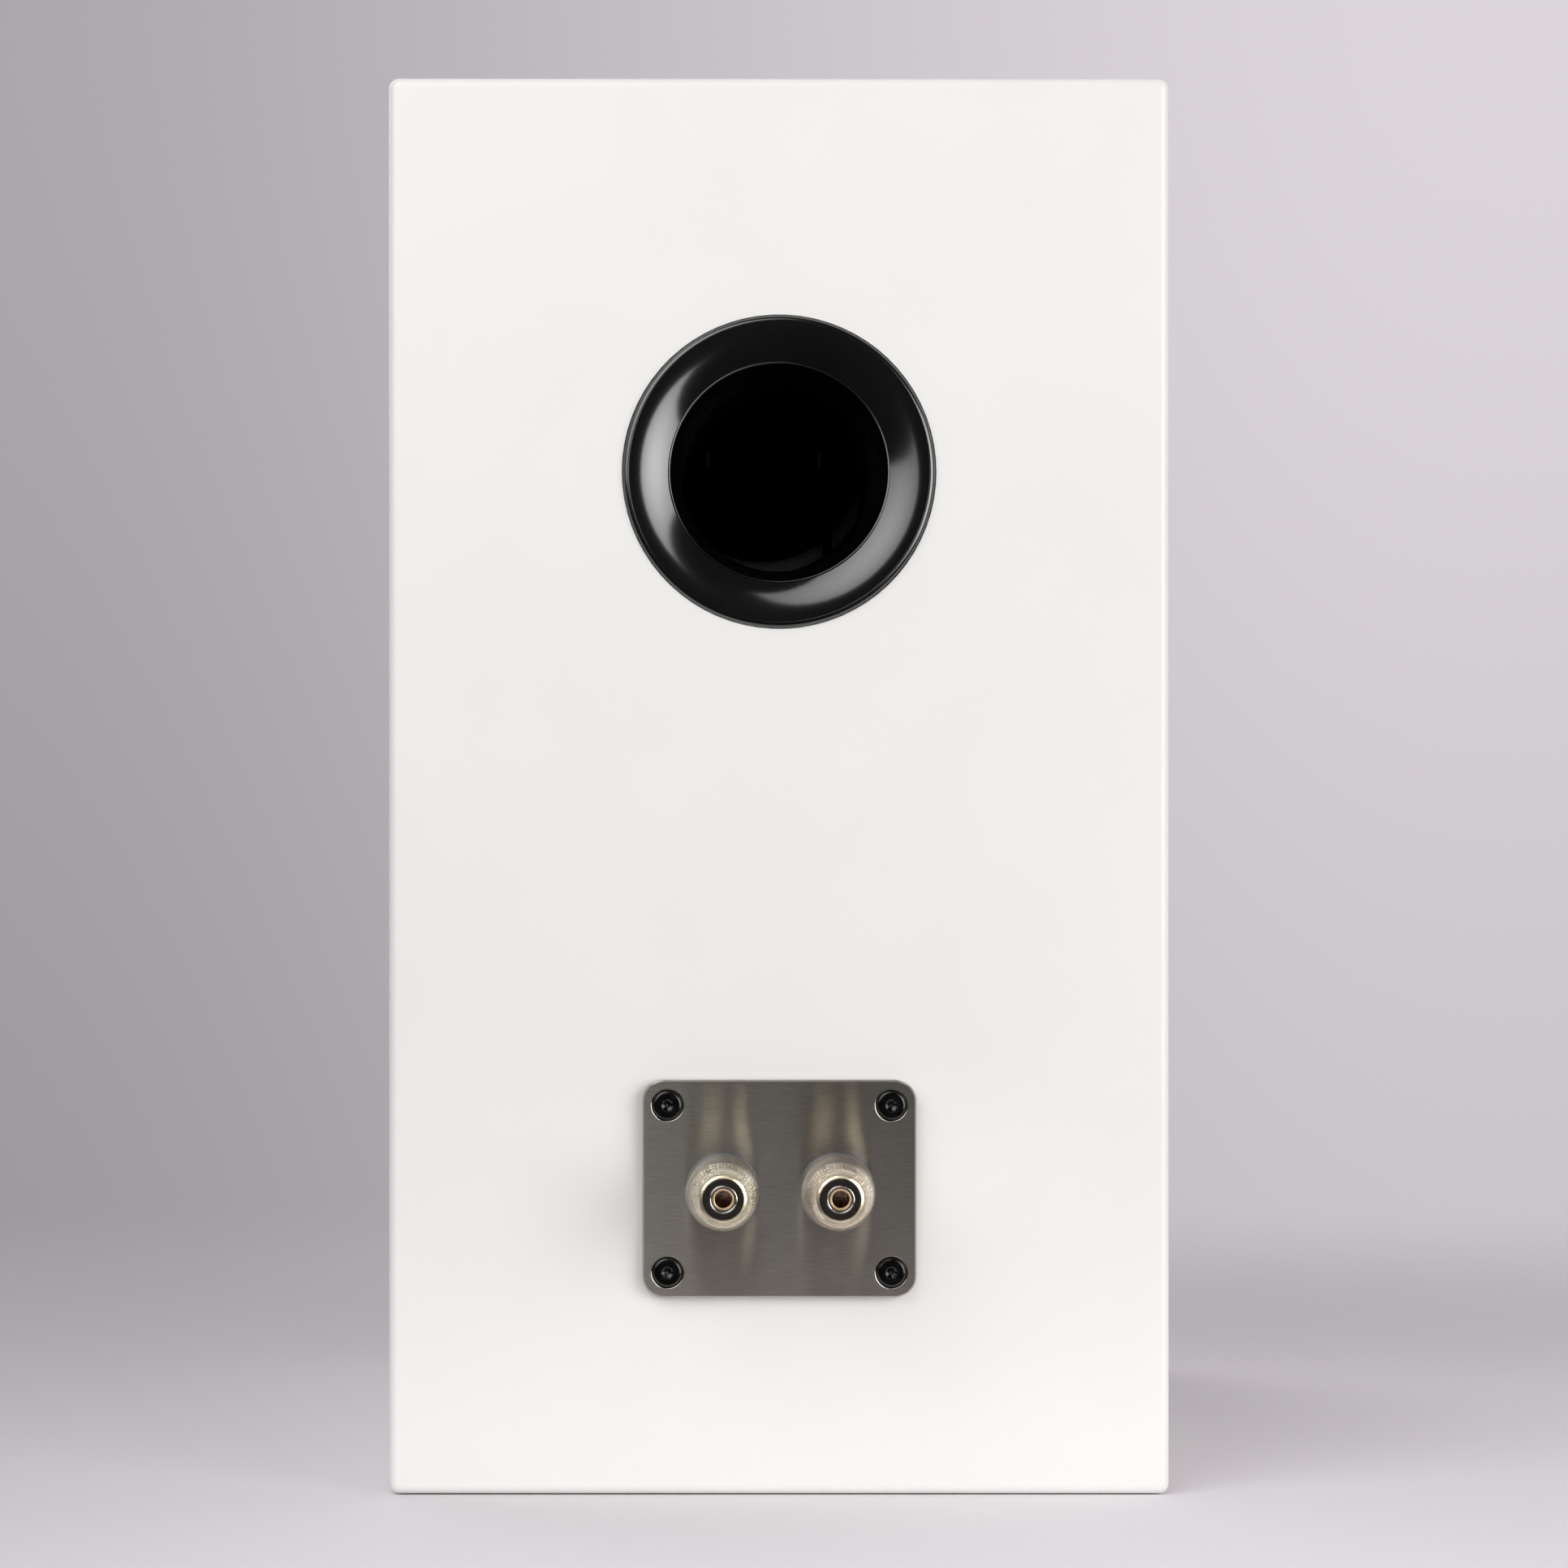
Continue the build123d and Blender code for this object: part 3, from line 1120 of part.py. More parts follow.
resistor_y = capacitor_y - CAPACITOR_R - row_gap - RESISTOR_SIDE / 2
with BuildPart() as resistors:
    with BuildSketch(Plane(origin=(0, resistor_y, BOARD_TOP_Z))):
        with GridLocations(2 * capacitor_x, 0, 2, 1):
            Rectangle(RESISTOR_LENGTH, RESISTOR_SIDE)
    extrude(amount=RESISTOR_SIDE)
save(resistors, "resistors")

# Wires, each run whole from its tag or pad to its tab
wire_z = BOARD_TOP_Z + WIRE_R + GLUE_GAP
board_front_y = BOARD_Y - BOARD_DEPTH / 2
wire_start_y = board_front_y + WIRE_LANDING
brace_front_y = BRACE_Y - BRACE_THICKNESS / 2
riser_y = (board_front_y + BRACE_Y + BRACE_THICKNESS / 2) / 2
low_z = WALL + BRACE_FRAME + 2 * WIRE_BEND
high_z = WALL + 2 * BRACE_FRAME + window_height + 2 * WIRE_BEND


def wire(points, radius, bend):
    """One wire: a round section swept along a path with rounded corners."""
    with BuildPart() as piece:
        with BuildLine() as route:
            FilletPolyline(*points, radius=bend)
        with BuildSketch(Plane(origin=route.line @ 0, z_dir=route.line % 0)):
            Circle(radius)
        sweep()
    return piece


def save_pair(routes, radius, bend, name):
    """Two separate wires in one piece of the harness."""
    with BuildPart() as pair:
        for points in routes:
            add(wire(points, radius, bend).part)
    save(pair, name)


tag_end_z = TERMINAL_Z - TAG_LENGTH + WIRE_R + GLUE_GAP
drop_y = INNER_REAR_Y - WIRE_BEND
board_rear_y = BOARD_Y + BOARD_DEPTH / 2 - WIRE_BEND
terminal_routes = [
    [(x, TAG_Y, tag_end_z), (x, drop_y, tag_end_z), (x, drop_y, wire_z), (x, board_rear_y, wire_z)]
    for x in POSTS
]
save_pair(terminal_routes, WIRE_R, WIRE_BEND, "terminal_leads")

woofer_tab_back = woofer_tab_y + WIRE_R + GLUE_GAP
below_tab_z = foot_z - TAB_DROP - WIRE_BEND
woofer_routes = [
    [
        (x, wire_start_y, wire_z),
        (x, riser_y, wire_z),
        (x, riser_y, low_z),
        (x, brace_front_y - WIRE_BEND, low_z),
        (x, woofer_tab_back, below_tab_z),
        (x, woofer_tab_back, foot_z - WIRE_END_GAP),
    ]
    for x in (-WOOFER_LEAD_X, WOOFER_LEAD_X)
]
save_pair(woofer_routes, WIRE_R, TIGHT_BEND, "woofer_leads")

tweeter_lead_x = TWEETER_LEAD_X + TAB_THICKNESS / 2 + WIRE_R + GLUE_GAP
turn_y = chamber_end + WIRE_LOOP
tweeter_routes = [
    [
        (x, wire_start_y, wire_z),
        (x, riser_y, wire_z),
        (x, riser_y, high_z),
        (x, turn_y, high_z),
        (x, turn_y, TWEETER_Z),
        (x, chamber_end + WIRE_END_GAP, TWEETER_Z),
    ]
    for x in (-tweeter_lead_x, tweeter_lead_x)
]
save_pair(tweeter_routes, WIRE_R, WIRE_BEND, "tweeter_leads")

tinsel_z = foot_z - TAB_DROP + TINSEL_RISE
tinsel_depth = (BASKET_SKIRT + ledge_depth) / 2
landing_r = DUST_CAP_R + LIP
landing_at = (landing_r ** 2 + WOOFER_LEAD_X ** 2) ** 0.5 - TINSEL_R
landing_depth = cone_depth(landing_at) + CONE_THICKNESS + 2 * GLUE_GAP
tinsel_routes = [
    [
        (x, front(BASKET_DEPTH), tinsel_z),
        (x, front(tinsel_depth), tinsel_z),
        (x, front(tinsel_depth), WOOFER_Z - landing_r),
        (x, front(landing_depth), WOOFER_Z - landing_r),
    ]
    for x in (-WOOFER_LEAD_X, WOOFER_LEAD_X)
]
save_pair(tinsel_routes, TINSEL_R, TINSEL_BEND, "tinsel_leads")
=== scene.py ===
# %% [markdown]
# # A bookshelf loudspeaker, seen from behind
# The real object is a white lacquered box with a round bass port and a brushed steel plate that carries
# two clear binding posts. Its sizes come from a CAD model, which is loaded here as a fixed frame. Drawing
# the box again in Blender would only copy it, so the rigid solids stay and get finishes, and Blender
# models what a solid shows badly: knurled metal under clear plastic, rubber, cloth, felt, foam and wire.

# %% Load the frame
import json
import math
import random

import bmesh
import bpy
from mathutils import Matrix, Vector
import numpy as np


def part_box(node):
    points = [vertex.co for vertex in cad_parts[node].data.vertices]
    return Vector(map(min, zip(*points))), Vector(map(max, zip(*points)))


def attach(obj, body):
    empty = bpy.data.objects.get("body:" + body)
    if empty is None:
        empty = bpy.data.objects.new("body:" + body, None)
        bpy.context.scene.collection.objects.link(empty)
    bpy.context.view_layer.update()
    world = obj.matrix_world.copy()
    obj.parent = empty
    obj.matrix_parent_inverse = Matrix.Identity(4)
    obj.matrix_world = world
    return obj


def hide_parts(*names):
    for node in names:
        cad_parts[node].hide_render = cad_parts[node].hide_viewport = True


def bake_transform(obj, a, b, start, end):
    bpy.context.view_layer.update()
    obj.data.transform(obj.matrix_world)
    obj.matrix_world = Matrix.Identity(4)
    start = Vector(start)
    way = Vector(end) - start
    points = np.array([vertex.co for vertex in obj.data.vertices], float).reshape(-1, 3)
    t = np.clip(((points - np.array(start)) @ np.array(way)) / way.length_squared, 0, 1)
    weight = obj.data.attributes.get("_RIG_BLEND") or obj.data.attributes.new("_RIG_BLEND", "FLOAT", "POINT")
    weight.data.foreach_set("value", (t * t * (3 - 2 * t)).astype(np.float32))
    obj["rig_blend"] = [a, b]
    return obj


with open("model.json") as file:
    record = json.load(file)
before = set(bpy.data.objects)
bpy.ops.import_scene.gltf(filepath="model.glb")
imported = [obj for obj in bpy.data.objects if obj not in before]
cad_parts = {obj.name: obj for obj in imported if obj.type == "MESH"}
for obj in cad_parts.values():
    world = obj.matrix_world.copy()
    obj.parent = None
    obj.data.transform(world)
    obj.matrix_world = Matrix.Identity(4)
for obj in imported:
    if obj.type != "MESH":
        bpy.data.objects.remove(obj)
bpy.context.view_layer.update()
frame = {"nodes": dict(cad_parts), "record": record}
nodes = frame["nodes"]
subparts = frame["record"]["subparts"]
scene = bpy.context.scene
scene.view_settings.view_transform = "Standard"

# %% [markdown]
# ## Camera
# The photograph looks straight at the back, so its upright edges are parallel and only the depth of the
# posts tells where the lens was: a little to the left, as the tips lean to the right. Blender could fit
# the view by eye, but the scale on the rear face and the distance to it give the focal length at once,
# and a lens shift brings the speaker back to the middle without turning the camera.

# %% Camera behind the rear face
PHOTO_WIDTH = 1932
PIXELS_PER_METRE = 4810
LENS_TO_REAR = 1.2
LENS_HEIGHT = 0.182
LENS_SIDE = 0.025
MIDDLE_PIXEL = 960

rear_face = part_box("rear_panel")[1].y
camera_data = bpy.data.cameras.new("photo_camera")
camera_data.lens = camera_data.sensor_width * PIXELS_PER_METRE * LENS_TO_REAR / PHOTO_WIDTH
camera_data.shift_x = (LENS_SIDE * PIXELS_PER_METRE + PHOTO_WIDTH / 2 - MIDDLE_PIXEL) / PHOTO_WIDTH
camera = bpy.data.objects.new("photo_camera", camera_data)
camera.location = (LENS_SIDE, rear_face + LENS_TO_REAR, LENS_HEIGHT)
camera.rotation_euler = (math.radians(90), 0, math.radians(180))
scene.collection.objects.link(camera)
scene.camera = camera
print("focal length", round(camera_data.lens, 1), "mm")

# %% [markdown]
# ## Surroundings
# Behind the speaker hangs lilac grey paper, and behind the photographer the room is
# dark, which keeps the gloss of the port black. A modelled paper roll would stand in the way of the other
# views, so the world itself is painted by direction: pale for what the camera sees, with painted light that
# makes the paper brighter on the right and towards the top, dark behind the lens for what polished surfaces
# see, and a soft glow for matt surfaces.

# %% World painted by direction
PAPER = (1.0, 0.94, 1.0, 1.0)
PAPER_SIDE = 0.17
PAPER_DIM = 0.37
PAPER_BRIGHT = 0.65
PAPER_LOW = 0.88
PAPER_HIGH = 1.1
ROOM_START = -0.3
ROOM_END = 0.5
ROOM_DARK = 0.03
ROOM_PALE = 0.55
GLOW_DARK = 0.12
GLOW_PALE = 0.5

world = bpy.data.worlds.new("studio")
world.use_nodes = True
scene.world = world
sky = world.node_tree
sky.nodes.clear()
direction = sky.nodes.new("ShaderNodeSeparateXYZ")
sky.links.new(sky.nodes.new("ShaderNodeTexCoord").outputs["Generated"], direction.inputs["Vector"])


def fade(tree, source, start, end, low, high):
    """A number that goes softly from low to high while the source goes from start to end."""
    node = tree.nodes.new("ShaderNodeMapRange")
    node.interpolation_type = "SMOOTHSTEP"
    node.inputs["From Min"].default_value = start
    node.inputs["From Max"].default_value = end
    node.inputs["To Min"].default_value = low
    node.inputs["To Max"].default_value = high
    tree.links.new(source, node.inputs["Value"])
    return node.outputs["Result"]


def product(tree, first, second):
    """The product of two numbers."""
    node = tree.nodes.new("ShaderNodeMath")
    node.operation = "MULTIPLY"
    tree.links.new(first, node.inputs[0])
    tree.links.new(second, node.inputs[1])
    return node.outputs["Value"]


def backdrop(strength):
    """A background shader in the colour of the paper."""
    node = sky.nodes.new("ShaderNodeBackground")
    node.inputs["Color"].default_value = PAPER
    sky.links.new(strength, node.inputs["Strength"])
    return node.outputs["Background"]


def either(choice, first, second):
    """The first shader where the choice is 0 and the second where it is 1."""
    node = sky.nodes.new("ShaderNodeMixShader")
    sky.links.new(choice, node.inputs["Fac"])
    sky.links.new(first, node.inputs[1])
    sky.links.new(second, node.inputs[2])
    return node.outputs["Shader"]


# Painted light on the paper: its strength rises towards the right and towards the top.
across = fade(sky, direction.outputs["X"], PAPER_SIDE, -PAPER_SIDE, PAPER_DIM, PAPER_BRIGHT)
upward = fade(sky, direction.outputs["Z"], -PAPER_SIDE, PAPER_SIDE, PAPER_LOW, PAPER_HIGH)
paper = backdrop(product(sky, across, upward))
room = backdrop(fade(sky, direction.outputs["Y"], ROOM_START, ROOM_END, ROOM_PALE, ROOM_DARK))
glow = backdrop(fade(sky, direction.outputs["Y"], -1.0, 1.0, GLOW_PALE, GLOW_DARK))
ray = sky.nodes.new("ShaderNodeLightPath").outputs
mirrored = either(ray["Is Transmission Ray"], either(ray["Is Glossy Ray"], glow, room), room)
surroundings = sky.nodes.new("ShaderNodeOutputWorld")
sky.links.new(either(ray["Is Camera Ray"], mirrored, paper), surroundings.inputs["Surface"])
print("world with", len(sky.nodes), "nodes")

# %% [markdown]
# ## Floor
# The speaker stands on a table with pale paper, coloured with painted shade that darkens it on the left and
# away from the camera, where less lamp light falls. A large plane would show a horizon,
# and the polished port would mirror it. A disc whose rim turns transparent melts into the painted
# surroundings and still takes the shadow of the cabinet, and it ends early towards the camera, where the
# real table ends.

# %% Floor disc
FLOOR_RADIUS = 0.75
FLOOR_SOLID = 0.28
FLOOR_GAP = 0.0003
FLOOR_STEPS = 96
FLOOR_PALE = (0.95, 0.92, 0.945, 1.0)
FLOOR_SHADE = (0.0, 0.0, 0.0, 1.0)
FLOOR_FAR = -0.22
FLOOR_NEAR = 0.3
FAR_SHARE = 0.9
FLOOR_LEFT = 0.27
FLOOR_RIGHT = -0.14
LEFT_SHARE = 0.71
TABLE_EDGE = 0.256
TABLE_END = 0.275


def new_object(name, shape):
    """A mesh object made from a bmesh, at the origin."""
    mesh = bpy.data.meshes.new(name)
    shape.to_mesh(mesh)
    shape.free()
    thing = bpy.data.objects.new(name, mesh)
    scene.collection.objects.link(thing)
    return thing


def ramp(tree, source, start, end, first, last):
    """A colour that goes from first to last while the source goes from start to end."""
    node = tree.nodes.new("ShaderNodeValToRGB")
    node.color_ramp.elements[0].position = start
    node.color_ramp.elements[0].color = first
    node.color_ramp.elements[1].position = end
    node.color_ramp.elements[1].color = last
    tree.links.new(source, node.inputs["Fac"])
    return node.outputs["Color"]


disc = bmesh.new()
bmesh.ops.create_circle(disc, cap_ends=True, segments=FLOOR_STEPS, radius=FLOOR_RADIUS)
bmesh.ops.translate(disc, verts=disc.verts, vec=(0, 0, -FLOOR_GAP))
floor = new_object("floor", disc)
floor_paper = bpy.data.materials.new("floor_paper")
floor_paper.use_nodes = True
tree = floor_paper.node_tree
tree.nodes.clear()
spot = tree.nodes.new("ShaderNodeTexCoord").outputs["Object"]
split = tree.nodes.new("ShaderNodeSeparateXYZ")
tree.links.new(spot, split.inputs["Vector"])
matt = tree.nodes.new("ShaderNodeBsdfDiffuse")
# Painted shade: the floor's colour darkens away from the camera and towards the left, where less lamp light
# falls.
nearness = fade(tree, split.outputs["Y"], FLOOR_FAR, FLOOR_NEAR, FAR_SHARE, 1.0)
sideways = fade(tree, split.outputs["X"], FLOOR_LEFT, FLOOR_RIGHT, LEFT_SHARE, 1.0)
painted_falloff = product(tree, nearness, sideways)
tree.links.new(ramp(tree, painted_falloff, 0.0, 1.0, FLOOR_SHADE, FLOOR_PALE), matt.inputs["Color"])
distance = tree.nodes.new("ShaderNodeVectorMath")
distance.operation = "LENGTH"
tree.links.new(spot, distance.inputs[0])
beyond = tree.nodes.new("ShaderNodeMath")
beyond.operation = "MAXIMUM"
outwards = fade(tree, distance.outputs["Value"], FLOOR_SOLID, FLOOR_RADIUS, 0.0, 1.0)
tree.links.new(outwards, beyond.inputs[0])
towards_lens = fade(tree, split.outputs["Y"], TABLE_EDGE, TABLE_END, 0.0, 1.0)
tree.links.new(towards_lens, beyond.inputs[1])
edge = tree.nodes.new("ShaderNodeMixShader")
tree.links.new(beyond.outputs["Value"], edge.inputs["Fac"])
tree.links.new(matt.outputs["BSDF"], edge.inputs[1])
tree.links.new(tree.nodes.new("ShaderNodeBsdfTransparent").outputs["BSDF"], edge.inputs[2])
tree.links.new(edge.outputs["Shader"], tree.nodes.new("ShaderNodeOutputMaterial").inputs["Surface"])
floor.data.materials.append(floor_paper)
print("floor disc", 2 * FLOOR_RADIUS, "m wide")

# %% [markdown]
# ## Lamps
# The port is a black mirror, and it shows where the real lamps stood: one large softbox upright on the
# right of the camera, and one on the left that starts level with the port and leans over the speaker.
# Their bright patches keep their shape only if the lamps have real sizes, so area lamps stand at those
# places. The cloth of a softbox glows most in its middle, so the distance from the middle dims each lamp
# towards its corners. A third one lights the front, which the photograph doesn't show.

# %% Softboxes
RIGHT_GLOW = 3.75
LEFT_GLOW = 2.05
FRONT_GLOW = 2.0
CLOTH_MIDDLE = (0.5, 0.5, 0.0)
CLOTH_CORNER = 0.7
CLOTH_BRIGHT = 1.3
CLOTH_DIM = 0.6
UP = Vector((0, 0, 1))

port_low, port_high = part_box("port_flare")
port_mouth = Vector((0, rear_face, (port_low.z + port_high.z) / 2))


def softbox(name, centre, along, upward, width, height, glow):
    """A rectangular lamp with its width along one direction and its height along another."""
    lamp = bpy.data.lights.new(name, "AREA")
    lamp.shape = "RECTANGLE"
    lamp.size = width
    lamp.size_y = height
    lamp.energy = math.pi * glow * width * height
    lamp.use_nodes = True
    cloth = lamp.node_tree
    middle = cloth.nodes.new("ShaderNodeVectorMath")
    middle.operation = "DISTANCE"
    cloth.links.new(cloth.nodes.new("ShaderNodeNewGeometry").outputs["Parametric"], middle.inputs[0])
    middle.inputs[1].default_value = CLOTH_MIDDLE
    hot = fade(cloth, middle.outputs["Value"], 0.0, CLOTH_CORNER, CLOTH_BRIGHT, CLOTH_DIM)
    cloth.links.new(hot, cloth.nodes["Emission"].inputs["Strength"])
    thing = bpy.data.objects.new(name, lamp)
    axes = Matrix((along, upward, along.cross(upward))).transposed()
    thing.matrix_world = Matrix.Translation(centre) @ axes.to_4x4()
    thing.visible_camera = False
    scene.collection.objects.link(thing)
    print(name, "at", [round(number, 2) for number in centre])


RIGHT_WIDTH = 1.22
RIGHT_HEIGHT = 0.83
right_centre = port_mouth + Vector((-0.742, 0.975, 0.042))
right_along = Vector((-0.505, -0.863, 0)).normalized()
softbox("lamp_right", right_centre, right_along, UP, RIGHT_WIDTH, RIGHT_HEIGHT, RIGHT_GLOW)

LEFT_WIDTH = 1.01
LEFT_HEIGHT = 0.95
LEFT_LEAN = math.radians(39.6)
left_foot = port_mouth + Vector((0.64, 0.875, 0.015))
left_along = Vector((0.672, -0.741, 0)).normalized()
left_inward = left_along.cross(UP)
left_upward = math.sin(LEFT_LEAN) * left_inward + math.cos(LEFT_LEAN) * UP
left_centre = left_foot + left_upward * LEFT_HEIGHT / 2
softbox("lamp_left", left_centre, -left_along, left_upward, LEFT_WIDTH, LEFT_HEIGHT, LEFT_GLOW)

FRONT_WIDTH = 1.2
FRONT_HEIGHT = 1.0
front_centre = Vector((0.75, -1.2, 0.85))
front_facing = (front_centre - Vector((0, 0, LENS_HEIGHT))).normalized()
front_along = UP.cross(front_facing).normalized()
front_upward = front_facing.cross(front_along)
softbox("lamp_front", front_centre, front_along, front_upward, FRONT_WIDTH, FRONT_HEIGHT, FRONT_GLOW)

# %% [markdown]
# ## Tools for finishes
# Every finish is a Principled shader fed by patterns. A picture of each surface could do it, but patterns
# on Object coordinates keep their real size on every piece and need no unwrapping. The helpers below
# count those coordinates in grains, make noise or rings from them, and send the result to colour,
# roughness or relief.

# %% Pattern helpers
MM = 0.001
# Most of a noise lies between these two values.
NOISE_LOW = 0.3
NOISE_HIGH = 0.7
# A grain of this length makes an axis count for nothing.
FLAT = 1000.0
finishes = {}


def new_finish(name, roughness=0.5, metallic=0.0, ior=1.5):
    """A material with one Principled shader, kept under its slot's name."""
    material = bpy.data.materials.new(name + "_finish")
    material.use_nodes = True
    tree = material.node_tree
    tree.nodes.clear()
    shader = tree.nodes.new("ShaderNodeBsdfPrincipled")
    shader.inputs["Roughness"].default_value = roughness
    shader.inputs["Metallic"].default_value = metallic
    shader.inputs["IOR"].default_value = ior
    tree.links.new(shader.outputs["BSDF"], tree.nodes.new("ShaderNodeOutputMaterial").inputs["Surface"])
    finishes[name] = material
    return tree, shader


def place(tree, size, centre=(0, 0, 0), turn=(0, 0, 0), fold=None):
    """Object coordinates counted in grains about a centre, mirrored at the planes through a fold point."""
    spot = tree.nodes.new("ShaderNodeTexCoord").outputs["Object"]
    if fold:
        apart = tree.nodes.new("ShaderNodeVectorMath")
        apart.operation = "SUBTRACT"
        apart.inputs[1].default_value = fold
        tree.links.new(spot, apart.inputs[0])
        folded = tree.nodes.new("ShaderNodeVectorMath")
        folded.operation = "ABSOLUTE"
        tree.links.new(apart.outputs["Vector"], folded.inputs[0])
        spot = folded.outputs["Vector"]
    count = tree.nodes.new("ShaderNodeMapping")
    count.vector_type = "TEXTURE"
    count.inputs["Location"].default_value = centre
    count.inputs["Rotation"].default_value = turn
    count.inputs["Scale"].default_value = size
    tree.links.new(spot, count.inputs["Vector"])
    return count.outputs["Vector"]


def grain(tree, size, detail=2.0):
    """Noise with grains of a size on each axis."""
    noise = tree.nodes.new("ShaderNodeTexNoise")
    noise.inputs["Scale"].default_value = 1.0
    noise.inputs["Detail"].default_value = detail
    tree.links.new(place(tree, size), noise.inputs["Vector"])
    return noise.outputs["Fac"]


def lumps(tree, size, detail=2.0):
    """Noise with round grains of one size."""
    return grain(tree, (size, size, size), detail)


def from_axis(tree, unit, centre, fold=None):
    """The distance from a Y axis through a centre, counted in units."""
    length = tree.nodes.new("ShaderNodeVectorMath")
    length.operation = "LENGTH"
    tree.links.new(place(tree, (unit, FLAT, unit), centre, fold=fold), length.inputs[0])
    return length.outputs["Value"]


def rings(tree, pitch, centre, fold=None):
    """Uneven rings of about one pitch round a Y axis through a centre, like the marks of a lathe."""
    noise = tree.nodes.new("ShaderNodeTexNoise")
    noise.noise_dimensions = "1D"
    noise.inputs["Scale"].default_value = 1.0
    noise.inputs["Detail"].default_value = 1.0
    tree.links.new(from_axis(tree, pitch, centre, fold), noise.inputs["W"])
    return noise.outputs["Fac"]


def tint(tree, shader, pattern, dark, pale, start=NOISE_LOW, end=NOISE_HIGH):
    """Colours the surface from dark to pale with a pattern."""
    colour = ramp(tree, pattern, start, end, (*dark, 1.0), (*pale, 1.0))
    tree.links.new(colour, shader.inputs["Base Color"])


def polish(tree, shader, pattern, smooth, rough):
    """Sets the roughness from smooth to rough with a pattern."""
    roughness = fade(tree, pattern, NOISE_LOW, NOISE_HIGH, smooth, rough)
    tree.links.new(roughness, shader.inputs["Roughness"])


def relief(tree, shader, pattern, depth):
    """Raises the surface by a depth in metres with a pattern, over any relief that is there."""
    bump = tree.nodes.new("ShaderNodeBump")
    bump.inputs["Distance"].default_value = depth
    tree.links.new(pattern, bump.inputs["Height"])
    if shader.inputs["Normal"].is_linked:
        tree.links.new(shader.inputs["Normal"].links[0].from_socket, bump.inputs["Normal"])
    tree.links.new(bump.outputs["Normal"], shader.inputs["Normal"])


def centre_of(node):
    """The middle of a CAD node."""
    low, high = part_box(node)
    return (low + high) / 2


def grey(value):
    """A neutral colour."""
    return (value, value, value)


def mottled(name, dark, pale, size, smooth, rough, depth, metallic=0.0, ior=1.5, detail=2.0):
    """A finish whose colour, roughness and relief follow one noise of a grain size."""
    tree, shader = new_finish(name, metallic=metallic, ior=ior)
    pattern = lumps(tree, size, detail)
    tint(tree, shader, pattern, dark, pale)
    polish(tree, shader, pattern, smooth, rough)
    relief(tree, shader, pattern, depth)
    return tree, shader


print("pattern helpers ready")

# %% [markdown]
# ## Cabinet
# Fibreboard, sprayed with warm white lacquer and rubbed to a satin gloss. A flat white would look like
# paper. Sprayed lacquer has a faint orange peel about a millimetre wide, and a gloss that wanders a
# little over the panel. Inside, the bare board shows its fibres, and grey felt lines the walls.

# %% Lacquer, board and felt
LACQUER_CLOUD = 70 * MM
GLOSS_CLOUD = 20 * MM
ORANGE_PEEL = 1.2 * MM
PEEL_DEPTH = 0.004 * MM
FELT_FIBRE = (0.4 * MM, 2.5 * MM, 2.5 * MM)
FELT_DEPTH = 0.4 * MM

tree, shader = new_finish("lacquer")
tint(tree, shader, lumps(tree, LACQUER_CLOUD), dark=(0.885, 0.878, 0.85), pale=(0.905, 0.898, 0.87))
polish(tree, shader, lumps(tree, GLOSS_CLOUD), smooth=0.3, rough=0.36)
relief(tree, shader, lumps(tree, ORANGE_PEEL), PEEL_DEPTH)

mottled(
    "raw_board", dark=(0.33, 0.22, 0.12), pale=(0.5, 0.36, 0.22),
    size=0.9 * MM, smooth=0.7, rough=0.85, depth=0.06 * MM, detail=4.0,
)
tree, shader = new_finish("felt", roughness=0.95)
fibres = grain(tree, FELT_FIBRE, detail=4.0)
tint(tree, shader, fibres, dark=(0.3, 0.3, 0.29), pale=(0.6, 0.6, 0.57))
relief(tree, shader, fibres, FELT_DEPTH)
shader.inputs["Sheen Weight"].default_value = 0.3
print("cabinet finishes:", list(finishes))

# %% [markdown]
# ## Port
# The mouth is injection moulded in black plastic and polished, so it shows the lamps as clean patches
# with a little dust. The tube behind it is dull, and coloured nearly black, darker than its plastic, as
# painted shade inside the port. Roughness does both: very low on the mouth, raised where
# a noise reaches its peaks so that specks of dust show only in the highlights.

# %% Black plastics
MOUTH_CLOUD = 20 * MM
MOUTH_WAVE = 4 * MM
WAVE_DEPTH = 0.004 * MM
MOUTH_GLOSS = 0.13
DUST_SPECK = 0.6 * MM
DUST_START = 0.76
DUST_END = 0.86
DUST_ROUGH = 0.3

tree, shader = new_finish("port_plastic", ior=2.0)
tint(tree, shader, lumps(tree, MOUTH_CLOUD), dark=(0.0016, 0.0016, 0.0018), pale=(0.0028, 0.0028, 0.003))
dust = lumps(tree, DUST_SPECK, detail=1.0)
dusty = fade(tree, dust, DUST_START, DUST_END, MOUTH_GLOSS, DUST_ROUGH)
tree.links.new(dusty, shader.inputs["Roughness"])
relief(tree, shader, lumps(tree, MOUTH_WAVE), WAVE_DEPTH)

# Painted shade: the tube is coloured nearly black, darker than its plastic, for the shade inside the port.
tree, shader = mottled(
    "tube_plastic", dark=grey(0.001), pale=grey(0.003),
    size=1.2 * MM, smooth=0.7, rough=0.8, depth=0.03 * MM,
)
shader.inputs["Specular IOR Level"].default_value = 0.1
mottled(
    "seal_foam", dark=grey(0.008), pale=grey(0.03),
    size=0.5 * MM, smooth=0.85, rough=0.95, depth=0.12 * MM, detail=3.0,
)
print("black plastics ready")

# %% [markdown]
# ## Terminal plate and screws
# A stainless plate, brushed along its length. Brushing leaves fine level scratches that smear a
# reflection across them, so a lamp or a post appears as an upright streak. Scratches as geometry would be
# far too fine. The shader's anisotropy smears the gloss along its tangent, which stands upright here, and
# stretched noise shows the single strokes. The pockets were cut after brushing, so their rims are
# polished: the coordinates are folded about the middle of the plate, and one circle smooths all four
# rims.

